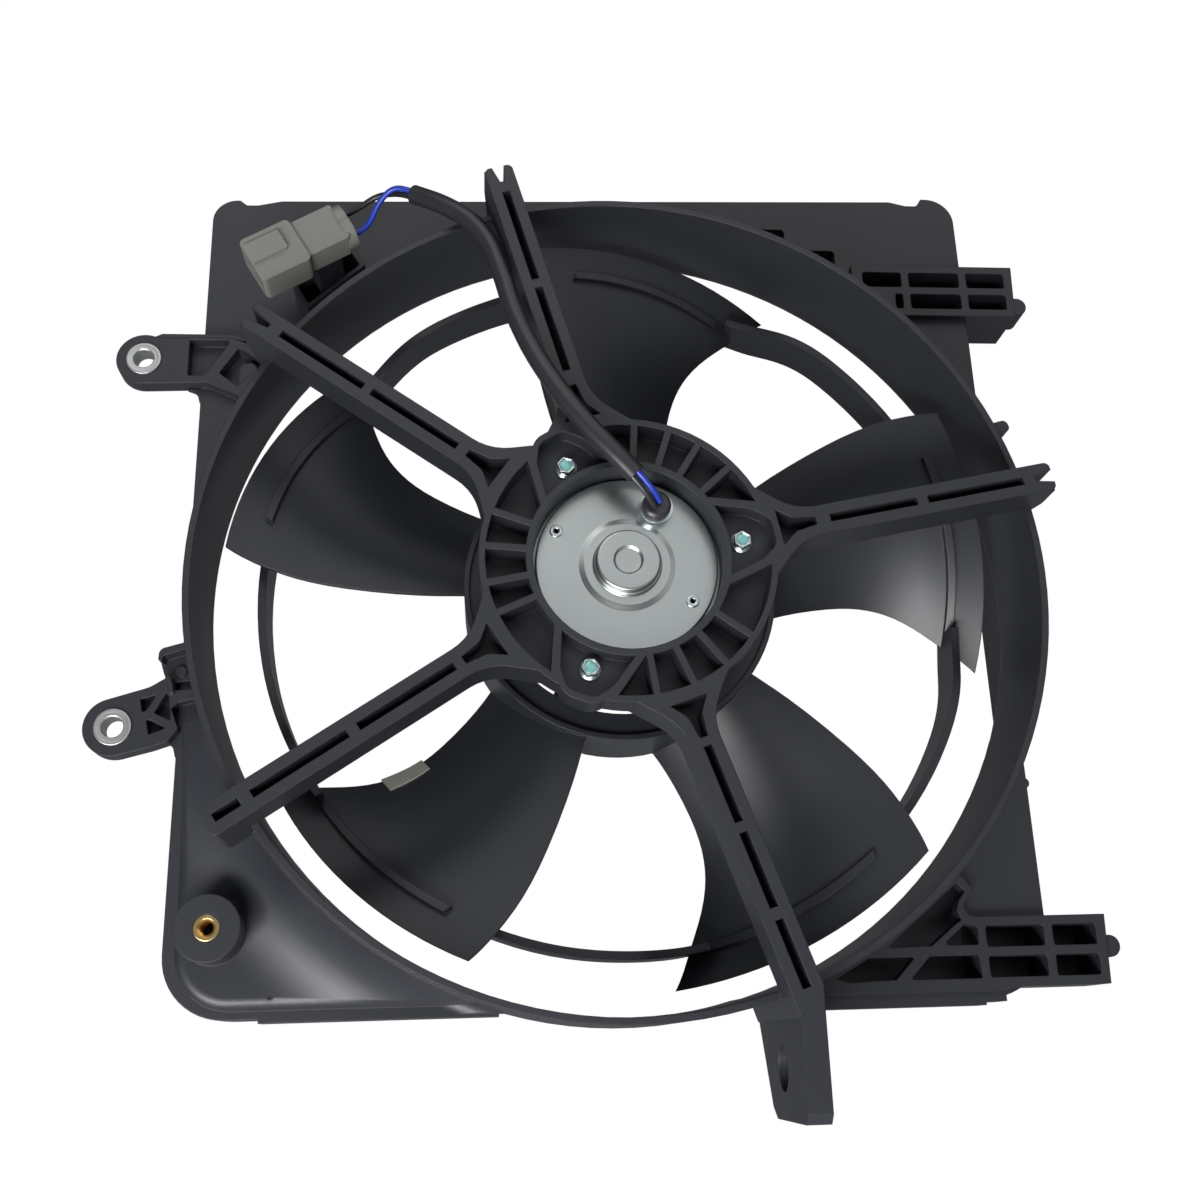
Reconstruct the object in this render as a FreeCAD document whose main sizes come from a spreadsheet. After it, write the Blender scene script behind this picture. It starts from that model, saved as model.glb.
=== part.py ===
import FreeCAD, Part
import math
import os
import re

import Sketcher
from FreeCAD import Placement, Rotation, Vector

# Radiator cooling fan: shroud moulding, motor, five-blade fan and lead.
# The fan turns about the Y axis. The radiator side is +Y and the motor side -Y.
# The origin is on the fan axis, in the plane of the face that meets the radiator.
# A depth is a distance ahead of that plane, so a face at a depth lies at y = -depth.

SIZES = {
    # shroud plate and skirt
    "plate_left": 180.7,
    "plate_right": 172.2,
    "plate_bottom": 165.0,
    "plate_top": 204.6,
    "plate_top_rise": 3.2,
    "plate_depth": 22.0,
    "plate_wall": 2.5,
    "plate_corner": 22.0,
    "ear_height": 1.9,
    "ear_notch": 2.5,
    # barrel round the fan
    "barrel_radius": 172.0,
    "barrel_wall": 2.7,
    "barrel_depth": 69.7,
    "barrel_fillet": 6.0,
    "throat_radius": 168.3,
    "throat_depth": 27.4,
    "throat_flare": 5.9,
    # raised pan in the lower left corner
    "pan_side_inset": 5.0,
    "pan_foot_inset": 3.4,
    "pan_step": 5.0,
    "pan_foot_radius": 210.0,
    "pan_crown_depth": 62.0,
    # motor carrier ring
    "carrier_radius": 58.0,
    "carrier_bore": 37.2,
    "carrier_face_depth": 87.7,
    "carrier_height": 14.0,
    "carrier_pocket_depth": 11.5,
    "carrier_outer_wall": 2.6,
    "carrier_inner_wall": 2.8,
    "carrier_rib": 2.8,
    "lobe_reach": 60.5,
    "lobe_pocket_depth": 7.7,
    # arms between the carrier and the barrel
    "arm_width": 12.0,
    "arm_height": 18.0,
    "arm_slot": 3.2,
    "arm_floor": 2.0,
    "arm_root": 52.0,
    "prong_back_depth": 58.0,
    # foot lug under arm four
    "lug_left": 53.4,
    "lug_thickness": 9.0,
    "lug_bottom": 206.5,
    "lug_back_depth": 9.0,
    "lug_hole_radius": 8.5,
    "lug_hole_depth": 52.0,
    "lug_hole_drop": 188.1,
    # fixing tabs with sleeves
    "tab_depth": 27.5,
    "tab_thickness": 8.0,
    "tab_radius": 11.9,
    "sleeve_out": 24.4,
    "upper_sleeve_height": 115.1,
    "lower_sleeve_drop": 50.9,
    "sleeve_radius": 7.6,
    "sleeve_bore": 4.3,
    "sleeve_flange": 0.8,
    "sleeve_clearance": 0.02,
    # corner boss with its threaded insert
    "boss_left": 160.5,
    "boss_drop": 132.0,
    "boss_radius": 12.7,
    "boss_depth": 42.0,
    "insert_radius": 5.1,
    "insert_thread": 2.6,
    "insert_length": 12.0,
    # locating tongues
    "tongue_depth": 26.0,
    "tongue_out": 23.3,
    "tongue_pin": 4.4,
    "tongue_pin_length": 14.0,
    "tongue_rib": 3.6,
    "upper_tongue_top": 169.6,
    "upper_tongue_bottom": 143.1,
    "lower_tongue_top": 133.4,
    "lower_tongue_bottom": 160.8,
    # motor casing
    "motor_radius": 36.0,
    "motor_wall": 1.8,
    "motor_face_depth": 77.5,
    "motor_back_depth": 30.0,
    "end_plate_thickness": 2.0,
    "cap_radius": 12.7,
    "cap_height": 5.8,
    "flange_thickness": 2.0,
    "flange_ear": 51.5,
    "screw_circle": 46.0,
    "screw_shank": 2.5,
    "screw_head": 4.0,
    "screw_flange": 4.6,
    "screw_hole_clearance": 0.3,
    # motor works
    "shaft_radius": 4.0,
    "shaft_front_depth": 81.5,
    "shaft_back_depth": 9.0,
    "bearing_radius": 8.0,
    "bearing_length": 5.0,
    "shaft_clearance": 0.04,
    "magnet_thickness": 6.0,
    "magnet_length": 34.0,
    "air_gap": 1.2,
    "core_length": 24.0,
    "core_front_depth": 61.0,
    "commutator_radius": 9.5,
    "commutator_length": 8.8,
    "commutator_front_depth": 75.2,
    "brush_size": 4.5,
    "brush_length": 9.0,
    # fan wheel
    "hub_radius": 64.1,
    "hub_wall": 2.2,
    "hub_front_depth": 51.0,
    "hub_back_depth": 17.0,
    "hub_mouth": 53.0,
    "hub_floor_sink": 2.0,
    "hub_boss_radius": 12.0,
    "blade_tip": 160.0,
    "blade_thickness": 2.6,
    "blade_camber": 4.5,
    "blade_lead_depth": 17.0,
    "blade_root_depth": 49.0,
    "blade_tip_depth": 55.0,
    "ring_radius": 147.6,
    "ring_wall": 3.2,
    "ring_ridge": 3.0,
    "nut_across": 13.0,
    "nut_height": 5.5,
    "washer_radius": 10.0,
    "washer_thickness": 1.5,
    # lead and its connector
    "grommet_right": 12.0,
    "grommet_up": 23.0,
    "grommet_radius": 5.7,
    "grommet_height": 7.0,
    "collar_radius": 6.8,
    "collar_height": 3.4,
    "wire_radius": 1.25,
    "wire_spacing": 3.0,
    "sleeving_radius": 4.1,
    "sleeving_wall": 0.7,
    "connector_depth": 54.0,
}

BLADE_COUNT = 5
SCREW_ANGLES = (10.3, 120.5, 249.7)
LOBE_HALF_ANGLE_INNER = 25.5
LOBE_HALF_ANGLE_OUTER = 12.5
RIB_ANGLE_GROUPS = (
    (42.4, 58.3, 71.7, 86.0),
    (160.3, 175.4, 191.0, 204.0),
    (278.7, 294.0, 309.3, 324.8),
)

doc = FreeCAD.newDocument("radiator_cooling_fan")
sheet = doc.addObject("Spreadsheet::Sheet", "sizes")
for row, (alias, number) in enumerate(SIZES.items(), start=1):
    sheet.set("A%d" % row, alias.replace("_", " "))
    sheet.set("B%d" % row, str(number))
    sheet.setAlias("B%d" % row, alias)
doc.recompute()

nodes = []


def linked(expression):
    """Write the sheet's name before each size named in an expression."""
    def named(match):
        word = match.group(0)
        return "sizes." + word if word in SIZES else word
    return re.sub(r"[a-z_]+", named, str(expression))


def value(expression):
    """Return the number that an expression of sizes has now."""
    return float(sheet.evalExpression(linked(expression)))


def bind(item, **links):
    """Tie properties of an object to expressions of the sizes."""
    for name, expression in links.items():
        item.setExpression(name.replace("__", "."), linked(expression))


def place(item, x="0", y="0", z="0", rotation=None):
    """Stand an object at a place given by expressions."""
    turn = rotation if rotation is not None else Rotation()
    item.Placement = Placement(Vector(value(x), value(y), value(z)), turn)
    bind(item, Placement__Base__x=x, Placement__Base__y=y, Placement__Base__z=z)


def keep(item, label):
    """Name an object as one of the part's pieces."""
    item.Label = label
    nodes.append(item)
    return item


def origin_plane(body, role):
    """Find one of a body's own origin planes."""
    return [plane for plane in body.Origin.OriginFeatures if plane.Role == role][0]


def bound_sketch(body, name, role, corners):
    """Draw a closed outline whose every corner is tied to the sizes."""
    sketch = body.newObject("Sketcher::SketchObject", name)
    sketch.AttachmentSupport = [(origin_plane(body, role), "")]
    sketch.MapMode = "FlatFace"
    points = [Vector(value(across), value(along), 0) for across, along in corners]
    count = len(points)
    for index in range(count):
        sketch.addGeometry(Part.LineSegment(points[index], points[(index + 1) % count]), False)
    for index in range(count):
        sketch.addConstraint(Sketcher.Constraint("Coincident", index, 2, (index + 1) % count, 1))
    for index, (across, along) in enumerate(corners):
        for kind, expression, number in (("DistanceX", across, points[index].x),
                                         ("DistanceY", along, points[index].y)):
            place_of = sketch.addConstraint(Sketcher.Constraint(kind, -1, 1, index, 1, number))
            sketch.setExpression("Constraints[%d]" % place_of, linked(expression))
    return sketch


def turned(name, corners, angle=360):
    """Turn an outline of (radius, y) corners about the Y axis."""
    body = doc.addObject("PartDesign::Body", name)
    sketch = bound_sketch(body, name + "_profile", "XY_Plane", corners)
    turn = body.newObject("PartDesign::Revolution", name + "_turn")
    turn.Profile = sketch
    turn.ReferenceAxis = (sketch, ["V_Axis"])
    turn.Angle = angle
    return body


ALONG_Y = Rotation(Vector(1, 0, 0), -90)
ALONG_X = Rotation(Vector(0, 1, 0), 90)


def rod(name, radius, front, back, x="0", z="0"):
    """Make a cylinder along Y between two depths."""
    item = doc.addObject("Part::Cylinder", name)
    bind(item, Radius=radius, Height="(%s) - (%s)" % (front, back))
    place(item, x, "-(%s)" % front, z, ALONG_Y)
    return item


def joined(name, items, merge_faces=True):
    """Fuse several objects into one, with faces that lie in one surface merged unless told otherwise."""
    item = doc.addObject("Part::MultiFuse", name)
    item.Shapes = items
    item.Refine = merge_faces
    return item


def cut(name, base, tool):
    """Take one object out of another."""
    item = doc.addObject("Part::Cut", name)
    item.Base = base
    item.Tool = tool
    return item


def grouped(name, items):
    """Hold separate solids as one group."""
    item = doc.addObject("Part::Compound", name)
    item.Links = items
    return item


def shaped(name, shape):
    """Hold a shape made from the sizes."""
    item = doc.addObject("Part::Feature", name)
    item.Shape = shape
    return item


def polar(radius, degrees):
    """Return the (x, z) place at a radius and an angle from +X towards +Z."""
    turn = math.radians(degrees)
    return (radius * math.cos(turn), radius * math.sin(turn))


def local(degrees, along, across):
    """Return the (x, z) place of a point given along and across a radial line."""
    turn = math.radians(degrees)
    x = along * math.cos(turn) - across * math.sin(turn)
    z = along * math.sin(turn) + across * math.cos(turn)
    return (x, z)


def rounded_wire(corners, y):
    """Draw a closed outline of (x, z) or (x, z, radius) corners at one y."""
    count = len(corners)
    starts = []
    ends = []
    arcs = []
    for index, corner in enumerate(corners):
        here = Vector(corner[0], y, corner[1])
        before = Vector(corners[index - 1][0], y, corners[index - 1][1])
        after = Vector(corners[(index + 1) % count][0], y, corners[(index + 1) % count][1])
        radius = corner[2] if len(corner) > 2 else 0
        into = (before - here).normalize()
        out = (after - here).normalize()
        angle = into.getAngle(out)
        if radius <= 0 or angle > math.pi - 0.01:
            starts.append(here)
            ends.append(here)
            arcs.append(None)
            continue
        reach = radius / math.tan(angle / 2)
        first = here + into * reach
        last = here + out * reach
        middle_line = (into + out).normalize()
        centre_gap = radius / math.sin(angle / 2)
        middle = here + middle_line * (centre_gap - radius)
        starts.append(first)
        ends.append(last)
        arcs.append(Part.Arc(first, middle, last))
    edges = []
    for index in range(count):
        if arcs[index] is not None:
            edges.append(arcs[index].toShape())
        following = starts[(index + 1) % count]
        if (following - ends[index]).Length > 1e-6:
            edges.append(Part.LineSegment(ends[index], following).toShape())
    return Part.Wire(edges)


def prism(corners, front, back):
    """Make a solid with a rounded outline between two depths."""
    face = Part.Face(rounded_wire(corners, -front))
    return face.extrude(Vector(0, front - back, 0))


def drum(radius, front, back, x=0.0, z=0.0):
    """Make a plain round solid along Y between two depths."""
    return Part.makeCylinder(radius, front - back, Vector(x, -front, z), Vector(0, 1, 0))


# Shroud plate with its skirt

def plate_outline(inset):
    """Return the plate's outline, drawn in from its edge by an inset, with its ears where it isn't drawn in."""
    left = -(value("plate_left") - inset)
    right = value("plate_right") - inset
    bottom = -(value("plate_bottom") - inset)
    rise = value("plate_top_rise")
    left_top = value("plate_top") - rise - inset
    right_top = value("plate_top") + rise - inset
    corner = value("plate_corner") - inset
    feet = [(left, bottom, corner + 3), (right, bottom, corner + 5)]
    notch = value("ear_notch")
    if inset > 0:
        return feet + [(right, right_top - notch, corner - 5), (left, left_top - notch, corner - 5)]
    ear = value("ear_height")
    return feet + [
        (right, right_top + ear, 13), (right - 15, right_top + ear, 0.8), (right - 17.5, right_top - notch + 0.5, 2),
        (right - 23, right_top - notch + 0.5, 5), (right - 31, right_top, 8),
        (left + 31, left_top, 8), (left + 20, left_top - notch, 10), (left + 15, left_top - notch, 1.5),
        (left + 12, left_top, 1), (left, left_top, 11),
    ]


def plate_shell():
    """Make the flat plate with the skirt that reaches back to the radiator."""
    depth = value("plate_depth")
    wall = value("plate_wall")
    shell = prism(plate_outline(0), depth, 0).cut(prism(plate_outline(wall), depth - wall, -1))
    ledges = []
    for left, right, drop, back in ((-143, -50.8, 1.5, 12), (64, 144, 2.6, 10), (64, 152.5, 1.3, 6)):
        foot = -value("plate_bottom")
        ledges.append(prism([(left, foot - drop), (right, foot - drop), (right, foot + 1), (left, foot + 1)],
                            depth, back))
    return shell.fuse(ledges)


def barrel_outside():
    """Make the barrel's outer body, which runs back to the seat where it passes the skirt."""
    radius = value("barrel_radius")
    depth = value("plate_depth")
    wall = value("plate_wall")
    fillet = value("barrel_fillet")
    back = depth - wall
    profile = Part.Wire([
        Part.LineSegment(Vector(radius - 8, -value("barrel_depth"), 0),
                         Vector(radius, -value("barrel_depth"), 0)).toShape(),
        Part.LineSegment(Vector(radius, -value("barrel_depth"), 0), Vector(radius, -depth - fillet, 0)).toShape(),
        Part.Arc(Vector(radius, -depth - fillet, 0),
                 Vector(radius + fillet * 0.293, -depth - fillet * 0.293, 0),
                 Vector(radius + fillet, -depth, 0)).toShape(),
        Part.LineSegment(Vector(radius + fillet, -depth, 0), Vector(radius + fillet, -back, 0)).toShape(),
        Part.LineSegment(Vector(radius + fillet, -back, 0), Vector(radius - 8, -back, 0)).toShape(),
        Part.LineSegment(Vector(radius - 8, -back, 0), Vector(radius - 8, -value("barrel_depth"), 0)).toShape(),
    ])
    flared = Part.Face(profile).revolve(Vector(0, 0, 0), Vector(0, 1, 0), 360)
    tube = flared.common(prism(plate_outline(0.01), value("barrel_depth") + 1, -1))
    straight = drum(radius, value("barrel_depth"), back)
    overhang = drum(radius, depth, 0).cut(prism(plate_outline(wall), depth + 1, -1))
    return straight.fuse([tube, overhang])


def throat_form():
    """Make the fan's throat: a slow taper to its narrowest edge, then a flared mouth behind."""
    front = value("barrel_depth") + 1
    narrow = value("throat_radius")
    edge = value("throat_depth")
    back = value("plate_depth - plate_wall")
    wide = narrow + value("throat_flare")
    mouth_radius = value("barrel_radius - barrel_wall")
    taper = Part.makeCone(mouth_radius, narrow, front - edge, Vector(0, -front, 0), Vector(0, 1, 0))
    straight = drum(narrow, edge + 0.5, -1)
    profile = Part.Wire([
        Part.LineSegment(Vector(0, -edge, 0), Vector(narrow, -edge, 0)).toShape(),
        Part.Arc(Vector(narrow, -edge, 0), Vector(narrow + (wide - narrow) * 0.3, -(edge * 0.3 + back * 0.7), 0),
                 Vector(wide, -back, 0)).toShape(),
        Part.LineSegment(Vector(wide, -back, 0), Vector(wide, 1, 0)).toShape(),
        Part.LineSegment(Vector(wide, 1, 0), Vector(0, 1, 0)).toShape(),
        Part.LineSegment(Vector(0, 1, 0), Vector(0, -edge, 0)).toShape(),
    ])
    flare = Part.Face(profile).revolve(Vector(0, 0, 0), Vector(0, 1, 0), 360)
    flare = flare.common(prism(plate_outline(value("plate_wall")), edge + 1, -2))
    return taper.fuse([straight, flare])


def pan_outline(inset):
    """Return the outline of the raised pan in the lower left corner."""
    left = -(value("plate_left - pan_side_inset") - inset)
    bottom = -(value("plate_bottom - pan_foot_inset") - inset)
    corner = value("plate_corner") - inset
    return [(left, bottom, corner), (-28 - inset, bottom), (-28 - inset, -52 - inset), (left, -52 - inset)]


def pan_form(inset):
    """Make the solid under the pan's skin: a dished skirt round the barrel and a low step with a round shoulder."""
    plate = value("plate_depth")
    crown = value("pan_crown_depth") - inset
    foot = plate + value("pan_step") - inset
    top = value("barrel_radius") + 1
    inner = value("barrel_radius") - (6 if inset == 0 else 0)
    outer = value("pan_foot_radius") - inset
    far = outer + 90
    sag = 1 - math.cos(math.radians(45))
    middle = Vector(top + (outer - top) * sag, -(foot + (crown - foot) * sag), 0)
    flare_profile = Part.Wire([
        Part.LineSegment(Vector(inner, -crown, 0), Vector(top, -crown, 0)).toShape(),
        Part.Arc(Vector(top, -crown, 0), middle, Vector(outer, -foot, 0)).toShape(),
        Part.LineSegment(Vector(outer, -foot, 0), Vector(far, -foot, 0)).toShape(),
        Part.LineSegment(Vector(far, -foot, 0), Vector(far, 0, 0)).toShape(),
        Part.LineSegment(Vector(far, 0, 0), Vector(inner, 0, 0)).toShape(),
        Part.LineSegment(Vector(inner, 0, 0), Vector(inner, -crown, 0)).toShape(),
    ])
    flare = Part.Face(flare_profile).revolve(Vector(0, 0, 0), Vector(0, 1, 0), 360)
    back = plate - value("plate_wall") if inset == 0 else -1
    pan = flare.common(prism(pan_outline(inset), crown + 5, back))
    if inset > 0:
        return pan
    shoulder = []
    for edge in pan.Edges:
        on_step = all(abs(point.Point.y + foot) < 0.001 for point in edge.Vertexes)
        outside = all(math.hypot(point.Point.x, point.Point.z) > outer + 0.01 for point in edge.Vertexes)
        if on_step and outside:
            shoulder.append(edge)
    return pan.makeFillet(value("pan_step") * 0.9, shoulder)


def shroud_base():
    """Fuse the plate, barrel and pan, hollow the pan and open the fan's throat."""
    wall = value("plate_wall")
    boss_x = -value("boss_left")
    boss_z = -value("boss_drop")
    solid = plate_shell().fuse([barrel_outside(), pan_form(0)])
    solid = solid.cut(pan_form(wall))
    boss = drum(value("boss_radius"), value("boss_depth"), value("plate_depth") - 8, boss_x, boss_z)
    solid = solid.fuse(boss)
    return solid.cut(throat_form())


# Motor carrier ring

def lobe_outline(degrees, grow):
    """Return the outline of a screw lobe, grown outwards by a wall."""
    reach = value("lobe_reach - carrier_outer_wall") + grow
    shape = [(32, 16.2 + grow), (51, 10.6 + grow, 6 + grow), (reach, 5.5 + grow / 2, 5.5 + grow)]
    corners = []
    for along, across, *radius in shape:
        corners.append(local(degrees, along, -across) + tuple(radius))
    for along, across, *radius in reversed(shape):
        corners.append(local(degrees, along, across) + tuple(radius))
    return corners


def ring_pocket(start, end, front, back):
    """Make the hollow between two ribs, each given by its inner and outer angle."""
    inner = value("carrier_bore + carrier_inner_wall")
    outer = value("carrier_radius - carrier_outer_wall")
    half_rib = value("carrier_rib") / 2
    inner_gap = math.degrees(math.asin(half_rib / inner))
    outer_gap = math.degrees(math.asin(half_rib / outer))
    inner_from = start[0] + inner_gap
    inner_to = end[0] - inner_gap
    outer_from = start[1] + outer_gap
    outer_to = end[1] - outer_gap

    def at(radius, degrees):
        x, z = polar(radius, degrees)
        return Vector(x, -front, z)

    narrow = inner_to - inner_from < 1
    if narrow:
        inner_from = inner_to = (inner_from + inner_to) / 2
    edges = [
        Part.LineSegment(at(inner, inner_to), at(outer, outer_to)).toShape(),
        Part.Arc(at(outer, outer_to), at(outer, (outer_from + outer_to) / 2), at(outer, outer_from)).toShape(),
        Part.LineSegment(at(outer, outer_from), at(inner, inner_from)).toShape(),
    ]
    if not narrow:
        middle = at(inner, (inner_from + inner_to) / 2)
        edges.append(Part.Arc(at(inner, inner_from), middle, at(inner, inner_to)).toShape())
    return Part.Face(Part.Wire(edges)).extrude(Vector(0, front - back, 0))


def carrier_pockets():
    """Make every hollow of the carrier ring: the ribbed sectors and the screw lobes."""
    front = value("carrier_face_depth")
    back = value("carrier_face_depth - carrier_pocket_depth")
    pockets = []
    for index, ribs in enumerate(RIB_ANGLE_GROUPS):
        lobe_before = SCREW_ANGLES[index]
        lobe_after = SCREW_ANGLES[(index + 1) % 3]
        if lobe_after < lobe_before:
            lobe_after = lobe_after + 360
        first = (lobe_before + LOBE_HALF_ANGLE_INNER, lobe_before + LOBE_HALF_ANGLE_OUTER)
        last = (lobe_after - LOBE_HALF_ANGLE_INNER, lobe_after - LOBE_HALF_ANGLE_OUTER)
        marks = [first] + [(rib, rib) for rib in ribs] + [last]
        for start, end in zip(marks[:-1], marks[1:]):
            pockets.append(ring_pocket(start, end, front, back))
    inner = drum(value("carrier_bore + carrier_inner_wall"), front + 1, back - 1)
    lobe_back = value("carrier_face_depth - lobe_pocket_depth")
    for degrees in SCREW_ANGLES:
        pockets.append(prism(lobe_outline(degrees, 0), front, lobe_back).cut(inner))
    return pockets


def carrier_ring():
    """Make the ring and its three screw lobes before they are hollowed."""
    front = value("carrier_face_depth")
    back = value("carrier_face_depth - carrier_height")
    ring = drum(value("carrier_radius"), front, back)
    lobes = [prism(lobe_outline(degrees, value("carrier_outer_wall")), front, back) for degrees in SCREW_ANGLES]
    return ring.fuse(lobes)


# Arms

ARMS = (
    # angle, end radius, slots, start of the fork
    (11.2, 176.0, ((81.5, 118.0), (122.5, 163.5)), 168.5),
    (105.8, 182.0, ((82.5, 122.0), (126.0, 169.5)), 174.5),
    (145.2, 182.0, ((80.5, 121.5), (125.5, 165.8)), 171.5),
    (213.0, 184.0, ((79.5, 121.0), (125.5, 165.0), (170.0, 180.3)), None),
    (289.3, 174.0, ((79.0, 109.0), (113.0, 141.5), (146.0, 171.0)), None),
)


def arm_body(degrees, end, fork):
    """Make one arm with its flared root and the deeper end outside the barrel."""
    half = value("arm_width") / 2
    root = value("arm_root")
    front = value("carrier_face_depth")
    back = value("carrier_face_depth - arm_height")
    outline = [(root, half + 15), (root + 17, half, 22), (end, half, 2.4)]
    corners = [local(degrees, along, -across) + tuple(radius) for along, across, *radius in outline]
    corners += [local(degrees, along, across) + tuple(radius) for along, across, *radius in reversed(outline)]
    arm = prism(corners, front, back)
    if fork is None:
        ends = [(value("barrel_radius - barrel_wall") + 0.6, half), (end, half, 2.4)]
        corners = [local(degrees, along, -across) + tuple(radius) for along, across, *radius in ends]
        corners += [local(degrees, along, across) + tuple(radius) for along, across, *radius in reversed(ends)]
        return arm.fuse(prism(corners, front, value("prong_back_depth")))
    return arm.fuse(arm_foot(degrees, end))


def arm_foot(degrees, end):
    """Make the deep foot of a forked arm, cut back on its far side."""
    half = value("arm_width") / 2
    start = value("barrel_radius - barrel_wall") + 0.6
    front = value("carrier_face_depth")
    back = value("prong_back_depth")
    side = Part.makePolygon([
        Vector(start, -front + 1, -half), Vector(end - 0.5, -front + 1, -half),
        Vector(end - 0.5, -(front + back) / 2, -half), Vector(end - 6, -back, -half),
        Vector(start, -back, -half), Vector(start, -front + 1, -half)])
    foot = Part.Face(side).extrude(Vector(0, 0, 2 * half))
    foot.rotate(Vector(0, 0, 0), Vector(0, 1, 0), -degrees)
    return foot


def arm_hollows(degrees, end, slots, fork):
    """Make the slots of one arm, the flared hollow at its root and the notch of a forked end."""
    half = value("arm_slot") / 2
    front = value("carrier_face_depth")
    floor = value("carrier_face_depth - arm_height + arm_floor")
    hollows = []
    for start, stop in slots:
        corners = [local(degrees, start, -half), local(degrees, stop, -half),
                   local(degrees, stop, half), local(degrees, start, half)]
        hollows.append(prism(corners, front, floor))
    root = value("carrier_radius") + 2.6
    outline = [(root, 7.5), (root + 6, 2.9, 5), (root + 15, half)]
    corners = [local(degrees, along, -across) + tuple(radius) for along, across, *radius in outline]
    corners += [local(degrees, along, across) + tuple(radius) for along, across, *radius in reversed(outline)]
    hollows.append(prism(corners, front, value("carrier_face_depth - carrier_pocket_depth")))
    if fork is not None:
        narrow = half * 0.6
        wide = half * 1.4
        corners = [local(degrees, fork, -narrow), local(degrees, end + 5, -wide - 1.4),
                   local(degrees, end + 5, wide + 1.4), local(degrees, fork, narrow)]
        hollows.append(prism(corners, front, value("prong_back_depth") - 1))
    return hollows


# Foot lug

def lug_body():
    """Make the flat lug that hangs from the end of the fourth arm."""
    left = value("lug_left")
    right = left + value("lug_thickness")
    bottom = -value("lug_bottom")
    front = value("carrier_face_depth")
    back = value("lug_back_depth")
    inside = -value("barrel_radius") + 12
    side = Part.makePolygon([
        Vector(left, -front, inside - 11), Vector(left, -front, bottom + 3.5), Vector(left, -front + 3.5, bottom),
        Vector(left, -back - 27, bottom), Vector(left, -back - 20, bottom + 4), Vector(left, -back, inside - 7),
        Vector(left, -back, inside), Vector(left, -front, inside), Vector(left, -front, inside - 11)])
    lug = Part.Face(side).extrude(Vector(right - left, 0, 0))
    degrees = ARMS[4][0]
    half = value("arm_width") / 2
    start = value("barrel_radius") - 6
    neck = prism([local(degrees, start, -half), (left, -value("barrel_radius") + 0.7), (right, inside - 12),
                  local(degrees, start + 4, half), local(degrees, start, half)], front, back)
    outside = drum(value("barrel_radius") - 1, value("barrel_depth"), -1)
    return lug.fuse(neck).cut(outside)


def lug_hole():
    """Make the round hole through the lug."""
    start = Vector(value("lug_left") - 5, -value("lug_hole_depth"), -value("lug_hole_drop"))
    return Part.makeCylinder(value("lug_hole_radius"), value("lug_thickness") + 10, start, Vector(1, 0, 0))


# Fixing tabs

def upper_tab():
    """Make the upper fixing tab."""
    edge = -value("plate_left")
    x = edge - value("sleeve_out")
    z = value("upper_sleeve_height")
    radius = value("tab_radius")
    front = value("tab_depth")
    back = value("tab_depth - tab_thickness")
    eye = drum(radius, front, back, x, z)
    bar = prism([(x, z - radius), (edge + 3, z - radius + 0.8), (edge + 15, z - 16.3), (edge + 34, z - 26),
                 (edge + 38, z + 2), (edge + 13.5, z + radius - 1.4), (x, z + radius - 1.4)], front, back)
    ledge = prism([(x + 3, z + radius - 2), (edge + 20, z + radius - 2), (edge + 15, z + radius + 1),
                   (x + 7, z + radius + 1), (x + 4, z + radius - 0.4)], front - 0.6, back)
    web = prism([(edge - 6, z - radius), (edge + 1, z - radius + 0.5), (edge + 1, z - radius - 7),
                 (edge - 0.4, z - radius - 6.5), (edge - 1.6, z - radius - 1.6, 4)], value("plate_depth"), back)
    outside = drum(value("barrel_radius") - 1, value("barrel_depth"), -1)
    return eye.fuse([bar.fuse([ledge, web]).cut(outside)])


def upper_tab_hollows():
    """Make the two hollows of the upper tab."""
    front = value("tab_depth")
    back = value("tab_depth - tab_thickness") + 1.5
    edge = -value("plate_left")
    z = value("upper_sleeve_height")
    first = prism([(edge - 5.2, z + 9.8, 0.8), (edge + 11.9, z + 9.9, 1), (edge + 12, z + 7.9, 0.6),
                   (edge + 2, z - 7.9, 0.8), (edge - 5.1, z - 7.9, 0.8)], front, back)
    second = prism([(edge + 16.4, z + 6.0, 1), (edge + 26.8, z - 0.9, 1), (edge + 25.3, z - 4.4, 1),
                    (edge + 16.6, z - 12.9, 1), (edge + 8.4, z - 6.6, 1)], front, back)
    peg = prism([(edge + 17.4, z - 1.6, 2.4), (edge + 22.6, z - 0.4, 2.4), (edge + 28, z - 8),
                 (edge + 16.6, z - 14)], front - 1.5, back)
    return [first, second.cut(peg)]


def lower_tab():
    """Make the lower fixing tab, which slopes up to the plate."""
    edge = -value("plate_left")
    x = edge - value("sleeve_out")
    z = -value("lower_sleeve_drop")
    radius = value("tab_radius")
    front = value("tab_depth")
    back = value("tab_depth - tab_thickness")
    eye = drum(radius, front, back, x, z)
    low = local(-76.8, radius, 0)
    high = local(106.7, radius, 0)
    bar = prism([(x + low[0], z + low[1]), (edge - 9.1, z - 8.3, 20), (edge - 2.4, z - 6.0, 2), (edge + 1.4, z - 1, 1),
                 (edge - 1.9, z + 7.7, 1), (edge + 0.9, z + 10, 1.5), (edge + 6, z + 11.2, 2), (edge + 14, z + 11.6),
                 (edge + 14, z + 16), (edge - 0.6, z + 15), (edge - 2.2, z + 20.6), (edge - 4.8, z + 20.3),
                 (edge - 10.9, z + 16.5, 12), (x + high[0], z + high[1])], front, back)
    web = prism([(edge - 6, z - 5.6), (edge + 1, z - 3), (edge + 1, z - 12), (edge - 0.3, z - 11.5),
                 (edge - 1.5, z - 6.6, 3)], value("plate_depth"), back)
    outside = drum(value("barrel_radius") - 1, value("barrel_depth"), -1)
    return eye.fuse([bar.fuse(web).cut(outside)])


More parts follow.
